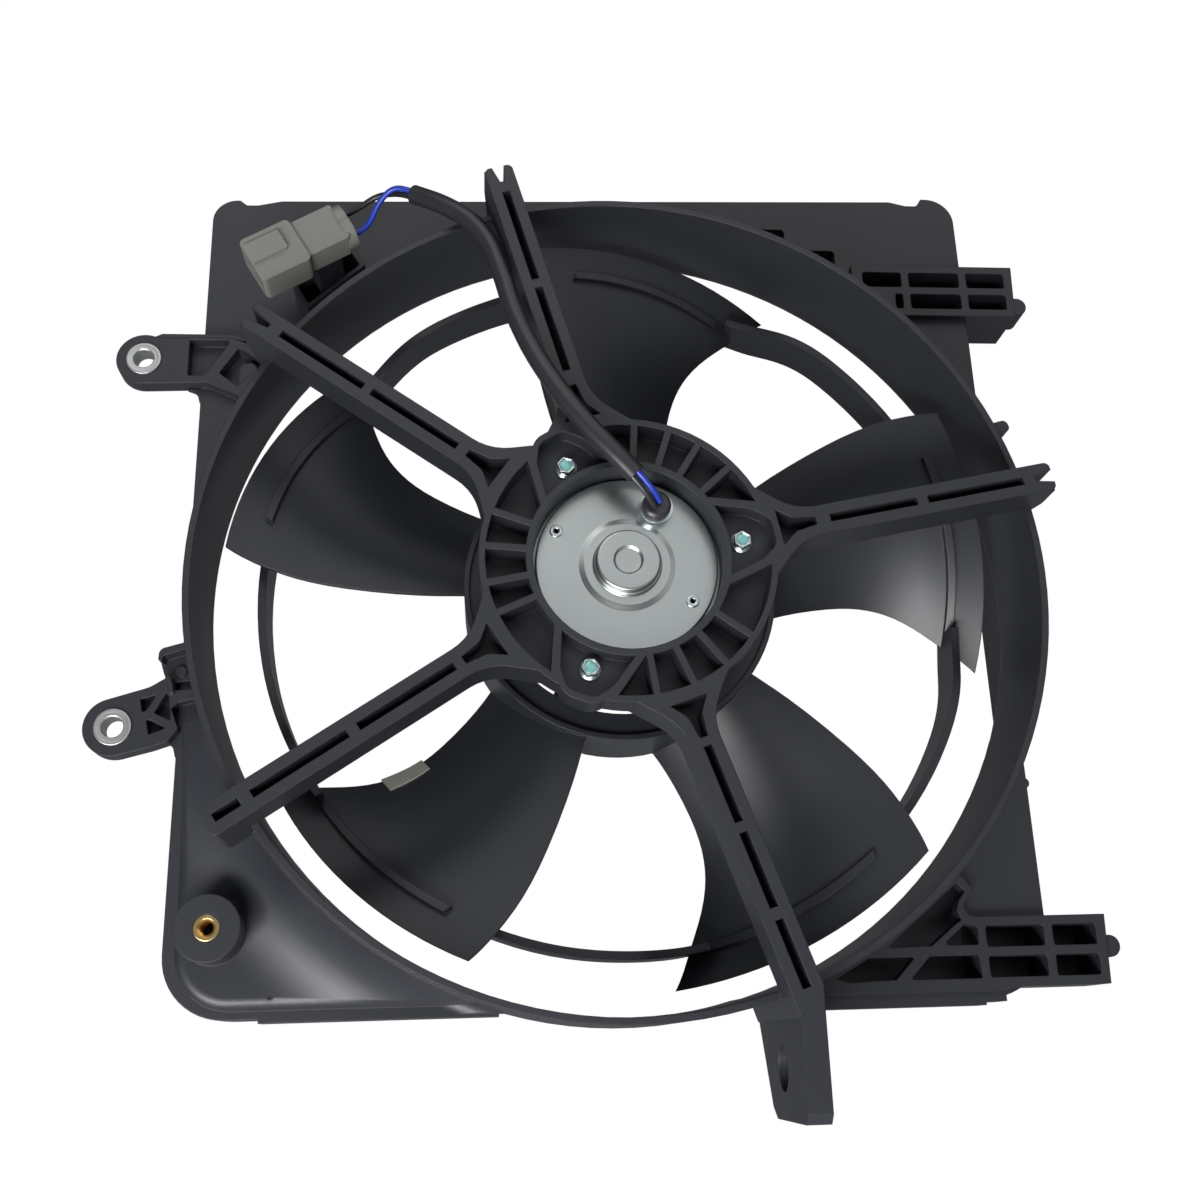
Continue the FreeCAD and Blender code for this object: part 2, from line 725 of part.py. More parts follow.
def lower_tab_hollows():
    """Make the three hollows between the lower tab's crossed ribs."""
    front = value("tab_depth")
    back = value("tab_depth - tab_thickness") + 1.5
    edge = -value("plate_left")
    z = -value("lower_sleeve_drop")
    outlines = (
        ((-14.4, 11.6), (-7.9, 13.2), (-11.7, 6.6), (-13.3, 6.2)),
        ((-11.4, 2.9), (-9.9, 2.8), (-3.3, -0.6), (-10.2, -3.3)),
        ((-8.5, 5.7), (-4.0, 14.4), (-3.0, 12.3), (-1.6, 2.3)),
    )
    return [prism([(edge + across, z + up, 0.5) for across, up in outline], front, back) for outline in outlines]


def side_clip():
    """Make the open clip on the plate's left edge, above the lower tab."""
    edge = -value("plate_left")
    z = -value("lower_sleeve_drop")
    floor = value("tab_depth") - 3.5
    back = value("plate_depth - plate_wall")
    front = value("tab_depth") + 3.5

    def at(points, high, low):
        return prism([(edge + point[0], z + point[1]) + tuple(point[2:]) for point in points], high, low)

    base = at(((-8.4, 29), (-7.6, 31.5, 2.5), (6, 35.4), (14, 12), (-2, 14), (-5, 20.4), (-6.4, 22.6)), floor, back)
    hole = at(((-1.9, 19.1), (4.2, 19.9), (5.2, 16.1), (-0.6, 13.9)), floor + 1, back - 1)
    wall = at(((-7.6, 27.2), (-7.4, 31.6, 3), (6, 35.4), (6, 32.6), (-5.6, 28.6, 1.2), (-6.2, 26.6)), front, back)
    stop = at(((-2.2, 19.1), (-3.6, 21.4), (-4.9, 20.4), (-2.8, 13.5), (-0.8, 13.5)), front - 2, back)
    nub = drum(2.4, floor + 1.2, back, edge + 0.5, z + 23.6)
    outside = drum(value("barrel_radius") - 1, value("barrel_depth"), -1)
    return base.fuse(wall).cut(hole).fuse([stop, nub]).cut(outside)


# Locating tongues

def tongue(left, bottom, top):
    """Make a tongue that stands out past the plate's right edge."""
    reach = value("plate_right + tongue_out")
    front = value("tongue_depth")
    body = prism([(left, bottom), (reach - 0.6, bottom), (reach + 0.4, top), (left, top)], front, 0)
    outside = drum(value("barrel_radius") - 1, value("barrel_depth"), -1)
    return body.cut(outside)


def tongue_hollows(columns, rows, depth):
    """Make the rounded hollows of a tongue, one for each column and row."""
    front = value("tongue_depth")
    hollows = []
    for left, right in columns:
        for bottom, top in rows:
            corners = [(left, bottom, 1.2), (right, bottom, 1.2), (right, top, 1.2), (left, top, 1.2)]
            hollows.append(prism(corners, front, front - depth))
    return hollows


def tongue_rows(bottom, top):
    """Split a tongue's height into two rows of hollows with a rib round each."""
    rib = value("tongue_rib")
    height = (top - bottom - 3 * rib) / 2
    return ((bottom + rib, bottom + rib + height), (top - rib - height, top - rib))


def tongue_columns(left, first_width):
    """Split a tongue's length into three columns of hollows."""
    rib = value("tongue_rib")
    end = value("plate_right + tongue_out") - rib - 0.4
    middle = left + first_width + rib
    width = (end - middle - rib) / 2
    return [(left, left + first_width), (middle, middle + width + 3), (middle + width + 3 + rib, end)]


def tongue_pin(z):
    """Make the round pin on a tongue's end."""
    front = value("tongue_depth")
    x = value("plate_right + tongue_out") + 1.3
    return drum(value("tongue_pin"), front - 1, front - 1 - value("tongue_pin_length"), x, z)


def lower_web():
    """Make the braced web between the lower tongue and the barrel."""
    front = value("tongue_depth")
    back = value("plate_depth - plate_wall")
    top = -value("lower_tongue_top")
    bottom = -value("lower_tongue_bottom")
    web = prism([(48, bottom - 1.5), (152.6, bottom - 1.5, 1), (157.8, bottom), (157.8, top), (137.8, top, 4.5),
                 (137.8, top + 5.8, 2), (142.6, top + 9.8, 2.6), (138.2, top + 16.6), (120, top + 22)], front, back)
    outside = drum(value("barrel_radius") - 1, value("barrel_depth"), -1)
    return web.cut(outside)


def lower_web_hollows():
    """Make the slanted hollows of the lower web."""
    front = value("tongue_depth")
    back = value("plate_depth - plate_wall") - 16
    top = -value("lower_tongue_top")
    outside = drum(value("barrel_radius"), value("barrel_depth"), -1)
    forms = (
        ((105.1, -10.6), (135.5, 13.6), (138.9, 10.4), (135.9, 6.8), (134.6, 2.9), (136.2, -1.1), (133.6, -2.7),
         (122.7, -11.0), (106.3, -11.4)),
        ((128.6, -9.6), (135.9, -3.9), (136.9, -2.7), (142.4, -4.0), (142.1, -11.0), (129.3, -10.9)),
        ((82.4, -22.7), (96.9, -15.0), (115.6, -15.1), (107.0, -23.7), (87.9, -24.4)),
        ((121.5, -14.9), (141.6, -15.0), (142.2, -24.0), (112.6, -23.9)),
    )
    hollows = []
    for form in forms:
        corners = [(across, top + up, 0.6) for across, up in form]
        hollows.append(prism(corners, front, back).cut(outside))
    return hollows


def connector_bracket():
    """Make the raised bracket that holds the lead's connector."""
    front = value("plate_depth") + 12
    back = value("plate_depth - plate_wall")
    block = prism([(-141.5, 150, 1), (-134.5, 137, 1), (-109, 160.5, 1), (-115, 170, 1)], front, back)
    hollow = prism([(-139, 149.5, 1), (-133.8, 140, 1), (-111.5, 160.6, 1), (-115.6, 166.8, 1)], front + 1, back + 2)
    outside = drum(value("barrel_radius") - 1, value("barrel_depth"), -1)
    lift = value("connector_depth") - CONNECTOR_HALF_HEIGHT + 1.0 - 0.3
    rail = prism([(2, -9, 1), (15, -9, 1), (15, -1, 1), (2, -1, 1)], lift, back)
    turn = connector_frame()
    rail.rotate(Vector(0, 0, 0), Vector(0, 1, 0), -CONNECTOR_SLOPE)
    rail.translate(Vector(turn.Base.x, 0, turn.Base.z))
    return block.cut(hollow).fuse(rail).cut(outside)


def barrel_nubs():
    """Make the small nub on the barrel's right side and the one on the plate's right edge."""
    degrees = 21.9
    barrel = value("barrel_radius")
    upper = prism([local(degrees, barrel - 2, -3.4), local(degrees, barrel + 7, -2.4) + (2.2,),
                   local(degrees, barrel + 7, 2.4) + (2.2,), local(degrees, barrel - 2, 3.4)], 67, 56)
    lower = drum(2.2, value("plate_depth"), value("plate_depth") - 6, value("plate_right") - 1, -78.4)
    return upper.fuse(lower)


UPPER_TONGUE_LEFT = 118.0
LOWER_TONGUE_LEFT = 142.0
PLATE_SLOTS = ((88.0, 191.0), (111.6, 179.7))


def build_shroud():
    """Assemble the shroud moulding from its forms and take its hollows out."""
    base = shaped("shroud_base", shroud_base())
    carrier = shaped("carrier_ring", carrier_ring())
    arms = [shaped("arm_%d" % number, arm_body(degrees, end, fork))
            for number, (degrees, end, slots, fork) in enumerate(ARMS, start=1)]
    added = [
        shaped("foot_lug", lug_body()),
        shaped("upper_tab", upper_tab()),
        shaped("lower_tab", lower_tab()),
        shaped("side_clip", side_clip()),
        shaped("upper_tongue", tongue(UPPER_TONGUE_LEFT, value("upper_tongue_bottom"), value("upper_tongue_top"))),
        shaped("lower_tongue", tongue(LOWER_TONGUE_LEFT, -value("lower_tongue_bottom"), -value("lower_tongue_top"))),
        shaped("upper_tongue_pin", tongue_pin(value("upper_tongue_bottom") + 5.9)),
        shaped("lower_tongue_pin", tongue_pin(-value("lower_tongue_bottom") + 14.7)),
        shaped("lower_web", lower_web()),
        shaped("connector_bracket", connector_bracket()),
        shaped("nubs", barrel_nubs()),
    ]
    solid = joined("shroud_solid", [base, carrier] + arms + added)
    hollows = carrier_pockets()
    for degrees, end, slots, fork in ARMS:
        hollows += arm_hollows(degrees, end, slots, fork)
    hollows += upper_tab_hollows() + lower_tab_hollows() + lower_web_hollows()
    hollows.append(lug_hole())
    deep = value("tongue_depth") - 4
    upper_rows = tongue_rows(value("upper_tongue_bottom"), value("upper_tongue_top"))
    lower_rows = tongue_rows(-value("lower_tongue_bottom"), -value("lower_tongue_top"))
    columns = tongue_columns(UPPER_TONGUE_LEFT + 5, 18.6)
    hollows += tongue_hollows(columns, upper_rows[1:], deep)
    hollows += tongue_hollows(columns[1:], upper_rows[:1], deep)
    hollows += tongue_hollows(((137.9, columns[0][1]),), upper_rows[:1], deep)
    hollows += tongue_hollows(tongue_columns(LOWER_TONGUE_LEFT, 0)[1:], lower_rows, deep)
    for right, top in PLATE_SLOTS:
        hollows.append(prism([(right - 17, top - 9, 2), (right, top - 9, 2), (right, top, 2), (right - 17, top, 2)],
                             value("plate_depth"), value("plate_depth") - 10))
    hollow_group = shaped("shroud_hollows", hollows[0].fuse(hollows[1:]))
    hollowed = cut("shroud_hollowed", solid, hollow_group)
    bores = [rod("carrier_bore_cut", "carrier_bore", "carrier_face_depth + 1",
                 "carrier_face_depth - carrier_height - 1"),
             rod("insert_bore", "insert_radius", "boss_depth", "boss_depth - insert_length",
                 "-boss_left", "-boss_drop")]
    for number, degrees in enumerate(SCREW_ANGLES, start=1):
        bores.append(rod("screw_bore_%d" % number, "screw_shank + screw_hole_clearance",
                         "carrier_face_depth", "carrier_face_depth - carrier_height - 1",
                         "screw_circle * %.6f" % math.cos(math.radians(degrees)),
                         "screw_circle * %.6f" % math.sin(math.radians(degrees))))
    for name, z in (("upper", "upper_sleeve_height"), ("lower", "-lower_sleeve_drop")):
        bores.append(rod(name + "_sleeve_bore", "sleeve_radius", "tab_depth + 1",
                         "tab_depth - tab_thickness - 1", "-(plate_left + sleeve_out)", z))
    keep(cut("shroud_moulding", hollowed, joined("shroud_bores", bores)), "shroud")


# Sleeves and insert

def build_sleeves():
    """Make the two compression sleeves and the threaded insert."""
    for name, z in (("upper_sleeve", "upper_sleeve_height"), ("lower_sleeve", "-lower_sleeve_drop")):
        sleeve = turned(name, [
            ("sleeve_bore", "-(tab_depth + sleeve_flange)"),
            ("sleeve_radius", "-(tab_depth + sleeve_flange)"),
            ("sleeve_radius", "-(tab_depth - tab_thickness)"),
            ("sleeve_bore", "-(tab_depth - tab_thickness)")])
        place(sleeve, "-(plate_left + sleeve_out)", "0", z)
        keep(sleeve, name)
    insert = turned("threaded_insert", [
        ("insert_thread", "-(boss_depth + 0.3)"),
        ("insert_radius", "-(boss_depth + 0.3)"),
        ("insert_radius", "-(boss_depth - insert_length)"),
        ("insert_thread", "-(boss_depth - insert_length)")])
    place(insert, "-boss_left", "0", "-boss_drop")
    keep(insert, "threaded_insert")


# Motor casing

def build_motor_case():
    """Make the drawn can, end plate, flange with weld nuts, screws and rivets."""
    front = "-(motor_face_depth)"
    seat = "-(motor_face_depth - end_plate_thickness)"
    inside = "motor_radius - motor_wall"
    can = turned("motor_can", [
        ("motor_radius", seat),
        ("motor_radius", "-motor_back_depth"),
        ("bearing_radius + motor_wall", "-motor_back_depth"),
        ("bearing_radius + motor_wall", "-(motor_back_depth - 4)"),
        ("shaft_radius + 1", "-(motor_back_depth - 4)"),
        ("shaft_radius + 1", "-(motor_back_depth - 4 + motor_wall)"),
        ("bearing_radius", "-(motor_back_depth - 4 + motor_wall)"),
        ("bearing_radius", "-(motor_back_depth + motor_wall)"),
        (inside, "-(motor_back_depth + motor_wall)"),
        (inside, seat)])
    keep(can, "motor_can")
    plate = turned("end_plate_disc", [
        ("0", "-(motor_face_depth + cap_height - 0.9)"),
        ("5.4", "-(motor_face_depth + cap_height - 0.9)"),
        ("5.4", "-(motor_face_depth + cap_height)"),
        ("cap_radius - 1", "-(motor_face_depth + cap_height)"),
        ("cap_radius", "-(motor_face_depth + cap_height - 1)"),
        ("cap_radius", "-(motor_face_depth + 0.6)"),
        ("cap_radius + 6", "-(motor_face_depth + 0.6)"),
        ("cap_radius + 6.6", front),
        ("motor_radius - 0.6", front),
        ("motor_radius", "-(motor_face_depth - 0.6)"),
        ("motor_radius", seat),
        ("bearing_radius", seat),
        ("bearing_radius", "-(motor_face_depth + cap_height - 1.8)"),
        ("0", "-(motor_face_depth + cap_height - 1.8)")])
    holes = [rod("lead_hole", "grommet_radius - 1.4", "motor_face_depth + 1",
                 "motor_face_depth - end_plate_thickness - 1", "grommet_right", "grommet_up")]
    for number, (x, z) in enumerate(RIVET_PLACES, start=1):
        holes.append(rod("rivet_hole_%d" % number, "1.6", "motor_face_depth + 1",
                         "motor_face_depth - end_plate_thickness - 1", str(x), str(z)))
    keep(cut("end_plate", plate, joined("end_plate_holes", holes)), "motor_end_plate")

    flange_front = "carrier_face_depth - carrier_height"
    flange_back = "carrier_face_depth - carrier_height - flange_thickness"
    ears = []
    for number, degrees in enumerate(SCREW_ANGLES, start=1):
        ears.append(shaped("flange_ear_%d" % number, prism(
            [local(degrees, 30, -14), local(degrees, value("flange_ear"), -8) + (7,),
             local(degrees, value("flange_ear"), 8) + (7,), local(degrees, 30, 14)],
            value(flange_front), value(flange_back))))
    band = rod("flange_band", "motor_radius + 3", flange_front, flange_back)
    openings = [rod("flange_opening", "motor_radius", flange_front + " + 1", flange_back + " - 1")]
    for number, degrees in enumerate(SCREW_ANGLES, start=1):
        openings.append(screw_rod("flange_hole_%d" % number, degrees, "screw_shank",
                                  flange_front + " + 1", flange_back + " - 1"))
    keep(cut("flange", joined("flange_solid", [band] + ears), joined("flange_openings", openings)), "motor_flange")

    weld_nuts = []
    screws = []
    for number, degrees in enumerate(SCREW_ANGLES, start=1):
        blank = doc.addObject("Part::Prism", "weld_nut_blank_%d" % number)
        blank.Polygon = 6
        bind(blank, Circumradius="5.2", Height="4")
        set_on_circle(blank, degrees, flange_back, ALONG_Y)
        weld_nuts.append(cut("weld_nut_%d" % number, blank, screw_rod(
            "weld_nut_bore_%d" % number, degrees, "screw_shank", flange_back + " + 1", flange_back + " - 6")))
        screw = turned("motor_screw_%d" % number, SCREW_PROFILE)
        set_on_circle(screw, degrees, "0", Rotation())
        screws.append(screw)
    keep(grouped("weld_nut_group", weld_nuts), "weld_nuts")
    keep(grouped("motor_screw_group", screws), "motor_screws")

    rivets = []
    for number, (x, z) in enumerate(RIVET_PLACES, start=1):
        rivet = turned("plate_rivet_%d" % number, [
            ("1.0", "-(motor_face_depth + 0.8)"), ("2.6", "-(motor_face_depth + 0.8)"), ("2.6", front),
            ("1.6", front), ("1.6", "-(motor_face_depth - end_plate_thickness - 2.2)"),
            ("1.0", "-(motor_face_depth - end_plate_thickness - 2.2)")])
        place(rivet, str(x), "0", str(z))
        rivets.append(rivet)
    keep(grouped("plate_rivet_group", rivets), "plate_rivets")


RIVET_PLACES = ((-27.6, 14.0), (25.1, -15.3))
SCREW_SEAT = "(carrier_face_depth - lobe_pocket_depth)"
SCREW_PROFILE = [
    ("0", "-(%s + screw_head)" % SCREW_SEAT),
    ("screw_shank", "-(%s + screw_head)" % SCREW_SEAT),
    ("screw_shank + 0.7", "-(%s + screw_head - 0.7)" % SCREW_SEAT),
    ("screw_shank + 0.7", "-(%s + 1.2)" % SCREW_SEAT),
    ("screw_flange", "-(%s + 1.2)" % SCREW_SEAT),
    ("screw_flange", "-(%s)" % SCREW_SEAT),
    ("screw_shank", "-(%s)" % SCREW_SEAT),
    ("screw_shank", "-(carrier_face_depth - carrier_height - flange_thickness - 6)"),
    ("0", "-(carrier_face_depth - carrier_height - flange_thickness - 6)"),
]


def screw_rod(name, degrees, radius, front, back):
    """Make a cylinder on the motor screws' circle."""
    x = "screw_circle * %.6f" % math.cos(math.radians(degrees))
    z = "screw_circle * %.6f" % math.sin(math.radians(degrees))
    return rod(name, radius, front, back, x, z)


def set_on_circle(item, degrees, depth, rotation):
    """Place an object on the motor screws' circle at a depth."""
    x = "screw_circle * %.6f" % math.cos(math.radians(degrees))
    z = "screw_circle * %.6f" % math.sin(math.radians(degrees))
    place(item, x, "-(%s)" % depth, z, rotation)


# Motor works

def build_motor_works():
    """Make the shaft, bearings, armature, commutator, magnets, brushes and brush gear."""
    keep(rod("shaft", "shaft_radius", "shaft_front_depth", "shaft_back_depth"), "motor_shaft")
    bearings = (("front_bearing", "motor_face_depth + cap_height - 2.2"),
                ("rear_bearing", "motor_back_depth + 0.8"))
    for name, front in bearings:
        bearing = turned(name, [
            ("shaft_radius + shaft_clearance", "-(%s)" % front),
            ("bearing_radius", "-(%s)" % front),
            ("bearing_radius", "-(%s - bearing_length)" % front if name == "front_bearing"
             else "-(motor_back_depth - 4 + motor_wall)"),
            ("shaft_radius + shaft_clearance", "-(%s - bearing_length)" % front if name == "front_bearing"
             else "-(motor_back_depth - 4 + motor_wall)")])
        keep(bearing, name)

    core_radius = "motor_radius - motor_wall - magnet_thickness - air_gap"
    magnets = []
    for number, turn in enumerate((0, 180), start=1):
        outer = doc.addObject("Part::Cylinder", "magnet_outer_%d" % number)
        outer.Angle = 130
        bind(outer, Radius="motor_radius - motor_wall", Height="magnet_length")
        spin = ALONG_Y.multiply(Rotation(Vector(0, 0, 1), turn + 25))
        place(outer, "0", "-(core_front_depth + (magnet_length - core_length) / 2)", "0", spin)
        inner = rod("magnet_inner_%d" % number, "motor_radius - motor_wall - magnet_thickness",
                    "core_front_depth + magnet_length", "core_front_depth - magnet_length")
        magnets.append(cut("magnet_%d" % number, outer, inner))
    keep(grouped("magnet_group", magnets), "motor_magnets")

    core = rod("core_blank", core_radius, "core_front_depth", "core_front_depth - core_length")
    slots = []
    for number in range(12):
        slot = doc.addObject("Part::Box", "core_slot_%d" % (number + 1))
        bind(slot, Length="10", Width="core_length + 2", Height="2.4")
        turn = Rotation(Vector(0, 1, 0), -30 * number)
        reach = value(core_radius) - 8
        start = turn.multVec(Vector(reach, 0, -1.2))
        slot.Placement = Placement(Vector(start.x, -value("core_front_depth") - 1, start.z), turn)
        bind(slot, Placement__Base__y="-core_front_depth - 1")
        slots.append(slot)
    slots.append(rod("core_bore", "shaft_radius", "core_front_depth + 1", "core_front_depth - core_length - 1"))
    keep(cut("core", core, joined("core_slots", slots)), "armature_core")

    coils = []
    for name, front, back in (("front_coil", "core_front_depth + 5", "core_front_depth"),
                              ("rear_coil", "core_front_depth - core_length", "core_front_depth - core_length - 5")):
        coils.append(turned(name, [
            ("shaft_radius + 5", "-(%s)" % front), ("19", "-(%s)" % front),
            ("22", "-(%s)" % front if name == "rear_coil" else "-(%s - 3)" % front),
            ("22", "-(%s)" % back if name == "front_coil" else "-(%s + 3)" % back),
            ("19", "-(%s)" % back), ("shaft_radius + 5", "-(%s)" % back)]))
    keep(grouped("armature_winding_group", coils), "armature_winding")

    keep(turned("commutator", [
        ("shaft_radius", "-commutator_front_depth"),
        ("commutator_radius", "-commutator_front_depth"),
        ("commutator_radius", "-(commutator_front_depth - commutator_length + 1.5)"),
        ("commutator_radius + 2", "-(commutator_front_depth - commutator_length + 1.5)"),
        ("commutator_radius + 2", "-(commutator_front_depth - commutator_length)"),
        ("shaft_radius", "-(commutator_front_depth - commutator_length)")]), "commutator")

    holder_front = "motor_face_depth - end_plate_thickness"
    card = turned("brush_card", [
        ("commutator_radius + 4", "-(%s)" % holder_front), ("motor_radius - motor_wall", "-(%s)" % holder_front),
        ("motor_radius - motor_wall", "-(%s - 2.2)" % holder_front),
        ("commutator_radius + 4", "-(%s - 2.2)" % holder_front)])
    boxes = []
    brushes = []
    springs = []
    bores = [rod("card_lead_hole", "grommet_radius - 1.4", holder_front + " + 1", holder_front + " - 3",
                 "grommet_right", "grommet_up")]
    for number, (x, z) in enumerate(RIVET_PLACES, start=1):
        bores.append(rod("card_rivet_hole_%d" % number, "1.6", holder_front + " + 1", holder_front + " - 3",
                         str(x), str(z)))
    for number, side in enumerate((1, -1), start=1):
        guide = doc.addObject("Part::Box", "brush_guide_%d" % number)
        bind(guide, Length="brush_size + 3", Width="brush_size + 3.7", Height="12")
        low = "commutator_radius + 6" if side == 1 else "-(commutator_radius + 18)"
        place(guide, "-(brush_size + 3) / 2", "-(%s)" % holder_front, low)
        boxes.append(guide)
        channel = doc.addObject("Part::Box", "brush_channel_%d" % number)
        bind(channel, Length="brush_size + 0.1", Width="brush_size + 0.1", Height="40")
        low = "commutator_radius" if side == 1 else "-(commutator_radius + 40)"
        place(channel, "-(brush_size + 0.1) / 2", "-(%s - 2.2)" % holder_front, low)
        bores.append(channel)
        brush = doc.addObject("Part::Box", "brush_block_%d" % number)
        bind(brush, Length="brush_size", Width="brush_size", Height="brush_length")
        low = "commutator_radius + 0.02" if side == 1 else "-(commutator_radius + 0.02 + brush_length)"
        place(brush, "-brush_size / 2", "-(%s - 2.25)" % holder_front, low)
        brushes.append(brush)
        spring = rod_along_z("brush_spring_%d" % number, "1.5", "commutator_radius + brush_length + 0.1",
                             "8.0", side, "-(%s - 2.25 - brush_size / 2)" % holder_front)
        springs.append(spring)
    keep(cut("brush_holder_card", joined("brush_holder_solid", [card] + boxes), joined("brush_holder_bores", bores)),
         "brush_holder")
    keep(grouped("brush_group", brushes), "brushes")
    keep(grouped("brush_spring_group", springs), "brush_springs")


def rod_along_z(name, radius, start, length, side, y):
    """Make a cylinder along Z, up or down from a start."""
    item = doc.addObject("Part::Cylinder", name)
    bind(item, Radius=radius, Height=length)
    z = start if side == 1 else "-(%s + %s)" % (start, length)
    place(item, "0", y, z)
    return item


# Fan wheel

# The blades stand unevenly, which spreads the hum of the fan over several notes.
BLADE_ANGLES = (-43.4, 29.2, 101.9, 174.4, 247.3)
BLADE_STATIONS = (
    # radius, leading edge angle and trailing edge angle from the blade's phase
    (62.6, -34.0, 8.2),
    (74.0, -30.7, 7.9),
    (90.0, -28.8, 7.2),
    (106.0, -28.6, 6.2),
    (121.0, -30.3, 5.1),
    (133.0, -33.0, 3.9),
    (145.0, -36.1, 2.3),
    (160.0, -39.6, -0.2),
)
CHORD_STEPS = 6


def blade_point(station, share, phase, lift):
    """Return a point of a blade: a share of the chord from the leading edge, lifted off the middle surface."""
    radius, lead, trail = station
    scale = value("blade_tip") / BLADE_STATIONS[-1][0]
    span = (radius - BLADE_STATIONS[0][0]) / (BLADE_STATIONS[-1][0] - BLADE_STATIONS[0][0])
    trail_depth = value("blade_root_depth") * (1 - span) + value("blade_tip_depth") * span
    lead_depth = value("blade_lead_depth")
    depth = lead_depth + (trail_depth - lead_depth) * share
    depth += value("blade_camber") * 4 * share * (1 - share)
    turn = lead + (trail - lead) * share
    arc = math.radians(trail - lead) * radius
    slope = (trail_depth - lead_depth + value("blade_camber") * 4 * (1 - 2 * share)) / arc
    tilt = math.atan(slope)
    taper = 0.55 + 0.45 * math.sin(math.pi * min(max(share, 0.0), 1.0))
    shift = lift * taper
    turn += math.degrees(-math.sin(tilt) * shift / radius)
    depth += math.cos(tilt) * shift
    x, z = polar(radius * scale, phase + turn)
    return Vector(x, -depth, z)


def patch_solid(stations, shares, phase, low, high):
    """Make a solid between two surfaces that follow a blade at two lifts."""
    grids = [[[blade_point(station, share, phase, lift) for share in shares] for station in stations]
             for lift in (low, high)]
    return between(grids)


def between(grids):
    """Make a solid between two smooth surfaces, each through a grid of points."""
    sheets = []
    for grid in grids:
        surface = Part.BSplineSurface()
        surface.interpolate(grid)
        sheets.append(surface)
    faces = [surface.toShape() for surface in sheets]
    u_first, u_last, v_first, v_last = sheets[0].bounds()
    for reader, ends in (("uIso", (u_first, u_last)), ("vIso", (v_first, v_last))):
        for end in ends:
            edges = [getattr(surface, reader)(end).toShape() for surface in sheets]
            faces.append(Part.makeRuledSurface(edges[0], edges[1]))
    shell = Part.makeShell(faces)
    shell.sewShape()
    solid = Part.makeSolid(Part.Shell(shell.Faces))
    if solid.Volume < 0:
        solid.reverse()
    return solid


HOOP_BAND = (
    # turn from a blade's phase, front depth and back depth of the hoop that follows it
    (-13.0, 43.0, 31.0),
    (-6.0, 43.0, 26.0),
    (0.0, 43.0, 23.5),
    (8.0, 43.0, 23.5),
    (16.0, 43.0, 23.5),
    (23.0, 42.6, 23.0),
    (28.0, 39.4, 19.0),
    (33.0, 34.0, 13.6),
    (38.0, 31.4, 12.0),
)


def hoop_length(phase, turn_to_next, inner, outer):
    """Make the length of hoop between one blade's trailing edge and the next blade's leading edge."""
    stretch = turn_to_next - 360 / BLADE_COUNT
    grids = []
    for radius in (inner, outer):
        rows = []
        for turn, front, back in HOOP_BAND:
            degrees = phase + turn + stretch * max(turn, 0) / HOOP_BAND[-1][0]
            x, z = polar(radius, degrees)
            rows.append([Vector(x, -front, z), Vector(x, -(front + back) / 2, z), Vector(x, -back, z)])
        grids.append(rows)
    return between(grids)


